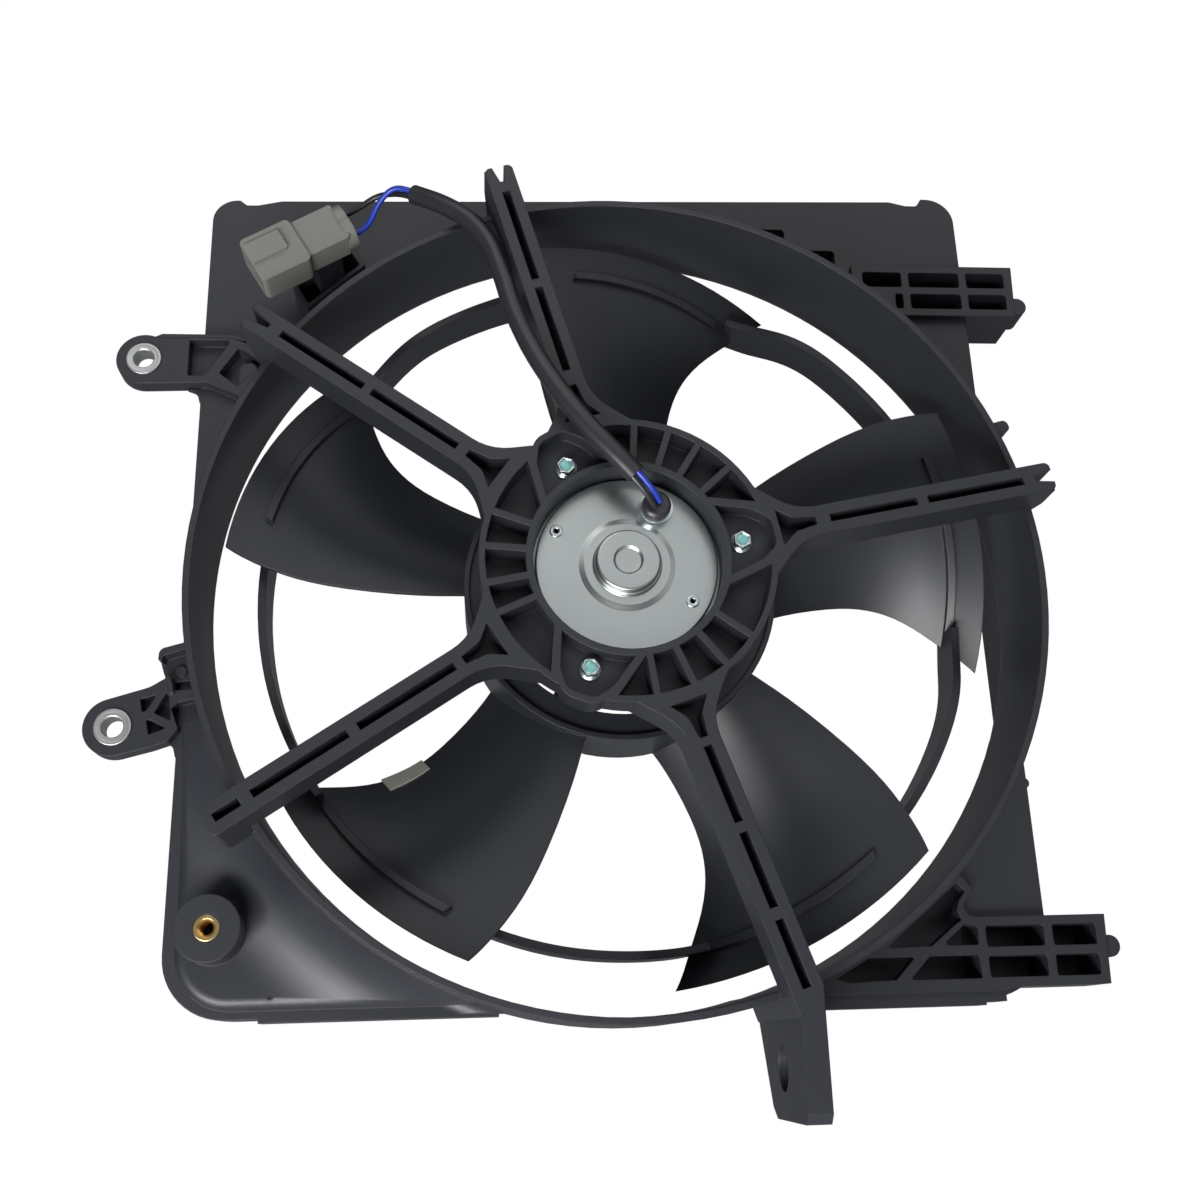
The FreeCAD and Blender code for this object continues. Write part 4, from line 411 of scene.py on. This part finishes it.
def moved(shape: bmesh.types.BMesh, parts: list[Part], step: Place) -> None:
    """Move the corners among the parts that an extrusion gave.

    Args:
        shape: the mesh they belong to.
        parts: corners, edges and faces.
        step: how far the corners go.
    """
    corners = [part for part in parts if isinstance(part, bmesh.types.BMVert)]
    bmesh.ops.translate(shape, verts=corners, vec=step)


def spun(outline: list[Point], centre: Point, steps: int) -> bmesh.types.BMesh:
    """Spin an outline of (radius, depth) points about a line along Y.

    Args:
        outline: points of the half section, in millimetres, as radius and depth ahead of the seat plane.
        centre: x and z of the line, in millimetres.
        steps: how many steps make the full turn.

    Returns:
        The spun mesh, in metres.
    """
    shape = bmesh.new()
    points = [shape.verts.new(((centre[0] + radius) * MM, -depth * MM, centre[1] * MM))
              for radius, depth in outline]
    edges = [shape.edges.new((first, second)) for first, second in zip(points[:-1], points[1:])]
    bmesh.ops.spin(shape, geom=points + edges, cent=Vector((centre[0], 0, centre[1])) * MM,
                   axis=(0, 1, 0), angle=2 * math.pi, steps=steps, use_merge=True, use_duplicate=False)
    bmesh.ops.remove_doubles(shape, verts=shape.verts, dist=0.00001)
    return shape


def eased(corners: list[tuple[float, ...]], steps: int = 5) -> list[Point]:
    """Round the corners of an open outline.

    Args:
        corners: the outline's corners as radius and depth, each with a rounding radius where it has one.
        steps: how many steps each round takes.

    Returns:
        The outline's points as radius and depth.
    """
    outline = [tuple(corners[0][:2])]
    for before, corner, after in zip(corners[:-2], corners[1:-1], corners[2:]):
        here = Vector(corner[:2])
        if len(corner) < 3:
            outline.append(tuple(here))
            continue
        back = (Vector(before[:2]) - here).normalized()
        ahead = (Vector(after[:2]) - here).normalized()
        reach = corner[2] / math.tan(back.angle(ahead) / 2)
        start = here + back * reach
        end = here + ahead * reach
        for step in range(steps + 1):
            share = step / steps
            bend = start * (1 - share) ** 2 + here * 2 * share * (1 - share) + end * share ** 2
            outline.append(tuple(bend))
    outline.append(tuple(corners[-1][:2]))
    return outline


def merged(shapes: list[bmesh.types.BMesh]) -> bmesh.types.BMesh:
    """Put several meshes into one.

    Args:
        shapes: the meshes, which are used up.

    Returns:
        One mesh with all of them.
    """
    whole = bmesh.new()
    for shape in shapes:
        held = bpy.data.meshes.new("held")
        shape.to_mesh(held)
        shape.free()
        whole.from_mesh(held)
        bpy.data.meshes.remove(held)
    return whole


def smoothed(item: bpy.types.Object, degrees: float) -> None:
    """Shade a piece smooth where its faces meet at less than an angle.

    Args:
        item: the piece.
        degrees: the largest angle that still looks round.
    """
    shape = bmesh.new()
    shape.from_mesh(item.data)
    for face in shape.faces:
        face.smooth = True
    for edge in shape.edges:
        edge.smooth = edge.is_manifold and edge.calc_face_angle(0.0) < math.radians(degrees)
    shape.to_mesh(item.data)
    shape.free()


def carved(item: bpy.types.Object, tools: list[bmesh.types.BMesh]) -> None:
    """Cut holes through a piece.

    Args:
        item: the piece, which keeps its place and its body.
        tools: closed meshes of what is cut away, which are used up.
    """
    mesh = bpy.data.meshes.new("hole_tool")
    whole = merged(tools)
    bmesh.ops.recalc_face_normals(whole, faces=whole.faces)
    whole.to_mesh(mesh)
    whole.free()
    tool = placed("hole_tool", mesh)
    cut = item.modifiers.new("holes", "BOOLEAN")
    cut.operation = "DIFFERENCE"
    cut.solver = "EXACT"
    cut.object = tool
    bpy.context.view_layer.update()
    shaped = bpy.data.meshes.new_from_object(item.evaluated_get(bpy.context.evaluated_depsgraph_get()))
    item.modifiers.remove(cut)
    item.data = shaped
    bpy.data.objects.remove(tool)
    bpy.data.meshes.remove(mesh)


def along_depth(shape: bmesh.types.BMesh, centre: Point, depth: float) -> bmesh.types.BMesh:
    """Turn a mesh that stands on Z so that it stands out of the motor's face.

    Args:
        shape: the mesh, in millimetres round the origin, with its top towards +Z.
        centre: x and z where it stands, in millimetres.
        depth: depth ahead of the seat plane at which it stands, in millimetres.

    Returns:
        The same mesh, in place and in metres.
    """
    turn = Matrix.Rotation(math.radians(90), 4, "X")
    place = Matrix.Translation(Vector((centre[0], -depth, centre[1])) * MM)
    bmesh.ops.transform(shape, matrix=place @ turn @ Matrix.Scale(MM, 4), verts=shape.verts)
    return shape


@dataclass
class EndPlate:
    """The motor's pressed end plate, with its dished cap, lead hole and two hollow rivets.

    Sizes are in millimetres, and a height is measured from the plate's face.
    """

    radius: float = 36.0
    face: float = 77.5
    thickness: float = 2.0
    proud: float = 0.1
    cap_radius: float = 12.7
    cap_height: float = 5.8
    cap_sheet: float = 1.8
    dimple_floor: float = 5.0
    dimple_rim: float = 5.9
    dimple_depth: float = 0.9
    waist_depth: float = 2.6
    waist_step: float = 0.7
    shelf_height: float = 0.9
    shelf_width: float = 4.2
    slope_width: float = 6.4
    bearing: float = 8.0
    lead_hole: Place = (12.0, 23.0, 4.3)
    rivets: tuple[Point, ...] = ((-27.6, 14.0), (25.1, -15.3))
    rivet_hole: float = 1.6
    rivet_bore: float = 1.0
    rivet_tube: float = 1.55
    rivet_rim: float = 2.6
    rivet_height: float = 0.8
    rivet_tail: float = 2.2

    def build(self, shop: FinishShop) -> None:
        """Press the plate and set its rivets.

        Args:
            shop: where the materials are made.
        """
        plate = piece_from(spun(self.section(), (0, 0), 144), "pressed_end_plate",
                           shop.material(END_PLATE), HOUSING)
        tools = [self.hole(self.lead_hole[:2], self.lead_hole[2])]
        tools += [self.hole(place, self.rivet_hole) for place in self.rivets]
        carved(plate, tools)
        smoothed(plate, 40)
        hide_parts("motor_end_plate")
        eyelets = piece_from(merged([self.eyelet(place) for place in self.rivets]), "hollow_rivets",
                             shop.material(SCREW_ZINC), HOUSING)
        smoothed(eyelets, 40)
        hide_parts("plate_rivets")

    def section(self) -> list[Point]:
        """Draw the plate's half section, from the middle of its cap round to the bearing's seat.

        Returns:
            The section's points as radius and depth.
        """
        top = self.face + self.cap_height
        back = self.face - self.thickness
        front = self.face + self.proud
        shelf = self.face + self.shelf_height
        dimple = top - self.dimple_depth
        inside = top - self.cap_sheet
        cap = self.cap_radius
        waist = cap + self.waist_step
        return eased([
            (0.0, dimple), (self.dimple_floor, dimple, 0.5), (self.dimple_rim, top, 0.5),
            (cap, top, 1.3), (cap, top - self.waist_depth, 0.3),
            (waist, top - self.waist_depth - 0.3, 0.3), (waist, shelf, 0.6),
            (cap + self.shelf_width, shelf, 1.2), (cap + self.slope_width, front, 1.2),
            (self.radius, front, 0.7), (self.radius, back),
            (self.bearing, back), (self.bearing, inside), (0.0, inside)])

    def hole(self, place: Point, radius: float) -> bmesh.types.BMesh:
        """Make the round tool that cuts one hole.

        Args:
            place: x and z of the hole.
            radius: its radius.

        Returns:
            A closed cylinder that stands out of the plate on both sides.
        """
        front = self.face + 4
        back = self.face - self.thickness - 3
        return spun([(0.0, front), (radius, front), (radius, back), (0.0, back)], place, 32)

    def eyelet(self, place: Point) -> bmesh.types.BMesh:
        """Roll the rim of one hollow rivet.

        Args:
            place: x and z of the rivet.

        Returns:
            The rivet, closed round its rim.
        """
        front = self.face + self.rivet_height
        back = self.face - self.thickness - self.rivet_tail
        seat = self.face + 0.12
        outline = eased([
            (self.rivet_bore, back), (self.rivet_bore, front - 0.2, 0.3),
            (self.rivet_bore + 0.6, front, 0.4), (self.rivet_rim, front - 0.1, 0.5),
            (self.rivet_rim, seat), (self.rivet_tube, seat),
            (self.rivet_tube, back), (self.rivet_bore, back)])
        return spun(outline, place, 32)


@dataclass
class FlangedScrews:
    """The three screws that hold the motor's ears behind the carrier ring, in millimetres."""

    circle: float = 46.0
    angles: tuple[float, ...] = (10.3, 120.5, 249.7)
    turn: float = 17.0
    seat: float = 80.0
    flange: float = 4.6
    flange_edge: float = 0.9
    collar: float = 3.3
    collar_height: float = 1.7
    across: float = 6.3
    height: float = 4.0
    head_base: float = 1.4
    head_edge: float = 0.22
    recess_rim: float = 0.75
    recess_depth: float = 0.6
    crown_radius: float = 2.3
    crown_depth: float = 1.0
    shank: float = 2.5
    tip: float = 65.7
    tip_chamfer: float = 0.6

    def build(self, shop: FinishShop) -> None:
        """Set the three screws with their tinted crowns.

        Args:
            shop: where the materials are made.
        """
        heads = []
        crowns = []
        for number, degrees in enumerate(self.angles):
            angle = math.radians(degrees)
            place = (self.circle * math.cos(angle), self.circle * math.sin(angle))
            heads += [self.flange_and_shank(place), self.hexagon(place, self.turn * number)]
            crowns.append(self.crown(place))
        screws = piece_from(merged(heads), "flanged_screws", shop.material(SCREW_ZINC), HOUSING)
        smoothed(screws, 35)
        tops = piece_from(merged(crowns), "screw_crowns", shop.material(SCREW_TEAL), HOUSING)
        smoothed(tops, 50)
        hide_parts("motor_screws")

    def flange_and_shank(self, place: Point) -> bmesh.types.BMesh:
        """Turn the washer face, its dished flange and the shank.

        Args:
            place: x and z of the screw.

        Returns:
            The turned part of the screw.
        """
        collar = self.seat + self.collar_height
        outline = eased([
            (0.0, collar), (self.collar, collar, 0.5), (self.flange, self.seat + self.flange_edge, 0.3),
            (self.flange, self.seat, 0.2), (self.shank, self.seat),
            (self.shank, self.tip + self.tip_chamfer), (self.shank - self.tip_chamfer, self.tip),
            (0.0, self.tip)])
        return spun(outline, place, 40)

    def hexagon(self, place: Point, turn: float) -> bmesh.types.BMesh:
        """Forge the six-sided head with its recessed top.

        Args:
            place: x and z of the screw.
            turn: how far it happens to be turned, in degrees.

        Returns:
            The head.
        """
        shape = bmesh.new()
        bmesh.ops.create_circle(shape, cap_ends=True, segments=6, radius=self.across / math.sqrt(3),
                                matrix=Matrix.Rotation(math.radians(turn), 4, "Z"))
        lifted = bmesh.ops.extrude_face_region(shape, geom=shape.faces[:])["geom"]
        moved(shape, lifted, (0, 0, self.height - self.head_base))
        top = max(shape.faces, key=lambda face: face.calc_center_median().z)
        bmesh.ops.inset_region(shape, faces=[top], thickness=self.recess_rim)
        sunk = bmesh.ops.extrude_face_region(shape, geom=[top])["geom"]
        bmesh.ops.delete(shape, geom=[top], context="FACES_ONLY")
        moved(shape, sunk, (0, 0, -self.recess_depth))
        sharp = [edge for edge in shape.edges if edge.is_manifold and edge.calc_face_angle(0.0) > 0.5]
        bmesh.ops.bevel(shape, geom=sharp, offset=self.head_edge, offset_type="OFFSET", segments=2,
                        profile=0.5, affect="EDGES", material=-1)
        return along_depth(shape, place, self.seat + self.head_base)

    def crown(self, place: Point) -> bmesh.types.BMesh:
        """Make the tinted disc that lies in the recess of a head.

        Args:
            place: x and z of the screw.

        Returns:
            The disc, a little crowned.
        """
        top = self.seat + self.height
        rim = self.crown_radius
        floor = top - self.crown_depth
        outline = eased([(0.0, top - 0.2), (rim - 1.0, top - 0.25, 0.4), (rim, top - 0.5, 0.3),
                         (rim, floor), (0.0, floor)])
        return spun(outline, place, 32)


@dataclass
class TurnedInserts:
    """The two plain sleeves and the threaded insert, in millimetres."""

    sleeve_places: tuple[Point, ...] = ((-205.1, 115.1), (-205.1, -50.9))
    sleeve_radius: float = 7.6
    sleeve_bore: float = 4.3
    sleeve_front: float = 28.3
    sleeve_back: float = 19.5
    bore_chamfer: float = 0.4
    rim_land: float = 1.2
    rim_slope: float = 0.4
    rim_rise: float = 0.1
    insert_place: Point = (-160.5, -132.0)
    insert_radius: float = 5.1
    insert_front: float = 42.3
    insert_back: float = 30.0
    insert_chamfer: float = 0.4
    mouth_width: float = 0.5
    mouth_depth: float = 0.6
    thread: float = 2.6
    thread_depth: float = 0.4
    pitch: float = 1.0

    def build(self, shop: FinishShop) -> None:
        """Turn the sleeves and cut the insert's thread.

        Args:
            shop: where the materials are made.
        """
        for name, place in zip(("upper_sleeve", "lower_sleeve"), self.sleeve_places):
            sleeve = piece_from(spun(self.sleeve_outline(), place, 64), "turned_" + name,
                                shop.material(SLEEVE_ALUMINIUM), HOUSING)
            smoothed(sleeve, 32)
            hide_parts(name)
        insert = piece_from(spun(self.insert_outline(), self.insert_place, 56), "tapped_insert",
                            shop.material(INSERT_BRASS), HOUSING)
        smoothed(insert, 28)
        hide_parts("threaded_insert")

    def sleeve_outline(self) -> list[Point]:
        """Draw a sleeve's section, with its chamfered bore and eased rim.

        Returns:
            The section's points as radius and depth.
        """
        front = self.sleeve_front
        back = self.sleeve_back
        bore = self.sleeve_bore
        rim = self.sleeve_radius
        face = front - self.rim_rise
        land = rim - self.rim_land
        return eased([
            (bore, back), (bore, face - self.bore_chamfer), (bore + self.bore_chamfer, face, 0.1),
            (land - self.rim_slope, face, 0.3), (land, front, 0.3), (rim, front, 0.5), (rim, back),
            (bore, back)])

    def insert_outline(self) -> list[Point]:
        """Draw the insert's section, with a thread down its bore.

        Returns:
            The section's points as radius and depth.
        """
        front = self.insert_front
        back = self.insert_back
        rim = self.insert_radius
        root = self.thread + self.thread_depth
        mouth = front - self.mouth_depth
        outline = [(rim, back), (rim, front - self.insert_chamfer), (rim - self.insert_chamfer, front),
                   (root + self.mouth_width, front), (root, mouth)]
        turns = int((front - back - 1) / self.pitch)
        for turn in range(turns):
            depth = mouth - turn * self.pitch
            outline += [(self.thread, depth - self.pitch * 0.5), (root, depth - self.pitch)]
        outline += [(root, back), (rim, back)]
        return outline


@dataclass
class PocketTrays:
    """The moulded trays that close the plate's slots, the braced web and the side clip from behind.

    Sizes are in millimetres, and corners are x and z.
    """

    plate_back: float = 19.5
    wall: float = 1.2
    lap: float = 1.0
    slots: tuple[Point, ...] = ((88.0, 191.0), (111.6, 179.7))
    slot_size: Point = (17.0, 9.0)
    slot_floor: float = 11.0
    clip_corners: tuple[Point, ...] = ((-183.6, -50.5), (-174.5, -50.5),
                                       (-174.5, -29.5), (-184.0, -29.5))
    clip_floor: float = 18.0
    barrel_side: float = 172.5
    web_turn: Point = (-63.5, -41.0)
    web_steps: int = 14
    web_corners: tuple[Point, ...] = ((141.0, -113.0), (144.5, -122.0), (139.8, -129.0),
                                      (145.0, -134.6), (145.0, -158.8), (79.0, -158.8))
    web_floor: float = 5.0

    def build(self, shop: FinishShop) -> None:
        """Mould the trays.

        Args:
            shop: where the materials are made.
        """
        trays = [self.tray(self.slot_corners(place), self.slot_floor) for place in self.slots]
        trays.append(self.tray(self.web_outline(), self.web_floor))
        trays.append(self.tray(list(self.clip_corners), self.clip_floor))
        piece = piece_from(merged(trays), "pocket_trays", shop.material(SHROUD_PLASTIC), HOUSING)
        smoothed(piece, 20)

    def slot_corners(self, place: Point) -> list[Point]:
        """Draw the tray behind one slot.

        Args:
            place: the slot's right edge and top.

        Returns:
            The tray's corners, a lap outside the slot's.
        """
        right = place[0] + self.lap
        left = place[0] - self.slot_size[0] - self.lap
        top = place[1] + self.lap
        bottom = place[1] - self.slot_size[1] - self.lap
        return [(left, bottom), (right, bottom), (right, top), (left, top)]

    def web_outline(self) -> list[Point]:
        """Draw the tray behind the web, which follows the barrel on its inner side.

        Returns:
            The tray's corners.
        """
        first, last = self.web_turn
        arc = []
        for step in range(self.web_steps + 1):
            turn = math.radians(first + (last - first) * step / self.web_steps)
            arc.append((self.barrel_side * math.cos(turn), self.barrel_side * math.sin(turn)))
        return arc + list(self.web_corners)

    def tray(self, corners: list[Point], floor: float) -> bmesh.types.BMesh:
        """Mould one open tray against the back of the plate.

        Args:
            corners: the tray's outline as x and z.
            floor: depth of its floor.

        Returns:
            The tray, with walls of real thickness.
        """
        shape = bmesh.new()
        points = [shape.verts.new((x * MM, -floor * MM, z * MM)) for x, z in corners]
        base = shape.faces.new(points)
        rim = bmesh.ops.extrude_edge_only(shape, edges=base.edges[:])["geom"]
        moved(shape, rim, (0, (floor - self.plate_back) * MM, 0))
        bmesh.ops.recalc_face_normals(shape, faces=shape.faces)
        bmesh.ops.solidify(shape, geom=shape.faces[:], thickness=self.wall * MM)
        return shape


@dataclass
class CarriedParts:
    """The solids of the frame, each given its finish."""

    finishes: dict[str, Finish] = field(default_factory=lambda: dict(NODE_FINISHES))

    def dress(self, nodes: dict[str, bpy.types.Object], shop: FinishShop) -> None:
        """Give every solid its material.

        Args:
            nodes: the frame's solids by name.
            shop: where the materials are made.
        """
        for name, item in nodes.items():
            material = shop.material(self.finishes[name])
            item.data.materials.clear()
            item.data.materials.append(material)
            log.info("dressed %s", name)


@dataclass(frozen=True)
class Lamp:
    """One soft rectangular lamp.

    Args:
        name: the lamp's name.
        place: where it hangs, in metres.
        target: where it points, in metres.
        size: its width and height, in metres.
        watts: its power.
    """

    name: str
    place: Place
    target: Place
    size: Point
    watts: float

    def hang(self) -> None:
        """Put the lamp in the scene."""
        data = bpy.data.lights.new(self.name, "AREA")
        data.shape = "RECTANGLE"
        data.size = self.size[0]
        data.size_y = self.size[1]
        data.energy = self.watts
        place = Vector(self.place)
        turn = (Vector(self.target) - place).to_track_quat("-Z", "Y")
        placed(self.name, data).matrix_world = Matrix.Translation(place) @ turn.to_matrix().to_4x4()


STUDIO_LAMPS = (
    Lamp("key_lamp", (-0.7, -1.6, 1.3), (0.0, 0.0, 0.0), (1.3, 1.3), 4.5),
    Lamp("fill_lamp", (1.5, -1.6, 0.3), (0.0, 0.0, 0.0), (1.2, 1.6), 3.0),
    Lamp("top_lamp", (0.15, -0.75, 1.0), (0.0, 0.0, 0.1), (1.3, 0.8), 3.2),
    Lamp("plate_lamp", (0.25, -1.7, 0.5), (0.0, 0.0, 0.0), (1.4, 0.9), 3.0),
    Lamp("low_lamp", (-0.45, -0.7, -0.85), (0.0, 0.0, -0.03), (0.9, 0.5), 26.0),
)


@dataclass
class Studio:
    """The camera, lamps, backdrop and world, in metres."""

    eye: Place = (-0.054554, -0.571231, -0.178963)
    yaw: float = 0.08773
    pitch: float = 0.32035
    roll: float = -0.03199
    lens: float = 40.425
    sensor: float = 36.0
    floor_height: float = -0.95
    floor_width: float = 14.0
    sweep: tuple[Point, ...] = ((-6.0, 0.0), (3.0, 0.0), (3.7, 0.14),
                                (4.2, 0.6), (4.4, 1.3), (4.4, 7.0))
    paper: Place = (1.0, 1.0, 1.0)
    paper_shade: Place = (0.82, 0.82, 0.82)
    paper_glow: float = 0.06
    sky: Place = (0.84, 0.90, 1.0)
    sky_strength: float = 0.14

    def build(self) -> None:
        """Set up everything that isn't part of the fan."""
        self.camera()
        for lamp in STUDIO_LAMPS:
            lamp.hang()
        self.floor()
        self.world()

    def camera(self) -> None:
        """Stand the camera where the photograph was taken from."""
        forward = Vector((math.sin(self.yaw) * math.cos(self.pitch),
                          math.cos(self.yaw) * math.cos(self.pitch), math.sin(self.pitch)))
        level = forward.cross(Vector((0, 0, 1))).normalized()
        above = level.cross(forward)
        right = level * math.cos(self.roll) + above * math.sin(self.roll)
        up = above * math.cos(self.roll) - level * math.sin(self.roll)
        turn = Matrix((right, up, -forward)).transposed()
        data = bpy.data.cameras.new("photo_camera")
        data.lens = self.lens
        data.sensor_width = self.sensor
        data.sensor_fit = "HORIZONTAL"
        data.clip_start = 0.01
        data.clip_end = 60.0
        item = placed("photo_camera", data)
        item.matrix_world = Matrix.Translation(Vector(self.eye)) @ turn.to_4x4()
        bpy.context.scene.camera = item

    def floor(self) -> None:
        """Lay a pale floor that curves up behind the fan."""
        shape = bmesh.new()
        points = [shape.verts.new((-self.floor_width / 2, along, self.floor_height + height))
                  for along, height in self.sweep]
        edges = [shape.edges.new((first, second)) for first, second in zip(points[:-1], points[1:])]
        far = bmesh.ops.extrude_edge_only(shape, edges=edges)["geom"]
        moved(shape, far, (self.floor_width, 0, 0))
        bmesh.ops.recalc_face_normals(shape, faces=shape.faces)
        mesh = bpy.data.meshes.new("paper_sweep")
        shape.to_mesh(mesh)
        shape.free()
        for face in mesh.polygons:
            face.use_smooth = True
        mesh.materials.append(self.paper_material())
        item = placed("paper_sweep", mesh)

    def paper_material(self) -> bpy.types.Material:
        """Make paper that is plain white to the camera and lights the fan only a little.

        Returns:
            The paper's material.
        """
        material = bpy.data.materials.new("white_paper")
        material.use_nodes = True
        nodes = material.node_tree.nodes
        links = material.node_tree.links
        shader = nodes["Principled BSDF"]
        shader.inputs["Base Color"].default_value = (*self.paper_shade, 1)
        shader.inputs["Roughness"].default_value = 0.9
        glow = nodes.new("ShaderNodeEmission")
        glow.inputs["Color"].default_value = (*self.paper, 1)
        share = nodes.new("ShaderNodeMath")
        share.operation = "MAXIMUM"
        share.inputs[1].default_value = self.paper_glow
        mix = nodes.new("ShaderNodeMixShader")
        links.new(self.in_view(nodes, links), share.inputs[0])
        links.new(share.outputs["Value"], mix.inputs["Fac"])
        links.new(shader.outputs["BSDF"], mix.inputs[1])
        links.new(glow.outputs["Emission"], mix.inputs[2])
        links.new(mix.outputs["Shader"], nodes["Material Output"].inputs["Surface"])
        return material

    def world(self) -> None:
        """Make the world white where it is seen and a soft grey where it lights."""
        world = bpy.data.worlds.new("studio_world")
        bpy.context.scene.world = world
        world.use_nodes = True
        nodes = world.node_tree.nodes
        links = world.node_tree.links
        soft = nodes["Background"]
        soft.inputs["Color"].default_value = (*self.sky, 1)
        soft.inputs["Strength"].default_value = self.sky_strength
        seen = nodes.new("ShaderNodeBackground")
        seen.inputs["Color"].default_value = (*self.paper, 1)
        seen.inputs["Strength"].default_value = 1.0
        mix = nodes.new("ShaderNodeMixShader")
        links.new(self.in_view(nodes, links), mix.inputs["Fac"])
        links.new(soft.outputs["Background"], mix.inputs[1])
        links.new(seen.outputs["Background"], mix.inputs[2])
        links.new(mix.outputs["Shader"], nodes["World Output"].inputs["Surface"])

    def in_view(self, nodes: bpy.types.Nodes, links: bpy.types.NodeLinks) -> bpy.types.NodeSocket:
        """Tell what the camera sees, straight or through something clear, from what only lights.

        Args:
            nodes: the material's or the world's nodes.
            links: its links.

        Returns:
            A socket that is 1 for what is seen.
        """
        ray = nodes.new("ShaderNodeLightPath")
        either = nodes.new("ShaderNodeMath")
        either.operation = "MAXIMUM"
        links.new(ray.outputs["Is Camera Ray"], either.inputs[0])
        links.new(ray.outputs["Is Transmission Ray"], either.inputs[1])
        return either.outputs["Value"]


def main() -> None:
    """Dress the frame, add the fine pieces and set up the studio."""
    logging.basicConfig(level=logging.INFO, format="%(message)s")
    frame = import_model()
    bpy.context.scene.view_settings.view_transform = "Standard"
    shop = FinishShop()
    CarriedParts().dress(frame["nodes"], shop)
    EndPlate().build(shop)
    FlangedScrews().build(shop)
    TurnedInserts().build(shop)
    PocketTrays().build(shop)
    Studio().build()


if __name__ == "__main__":
    main()
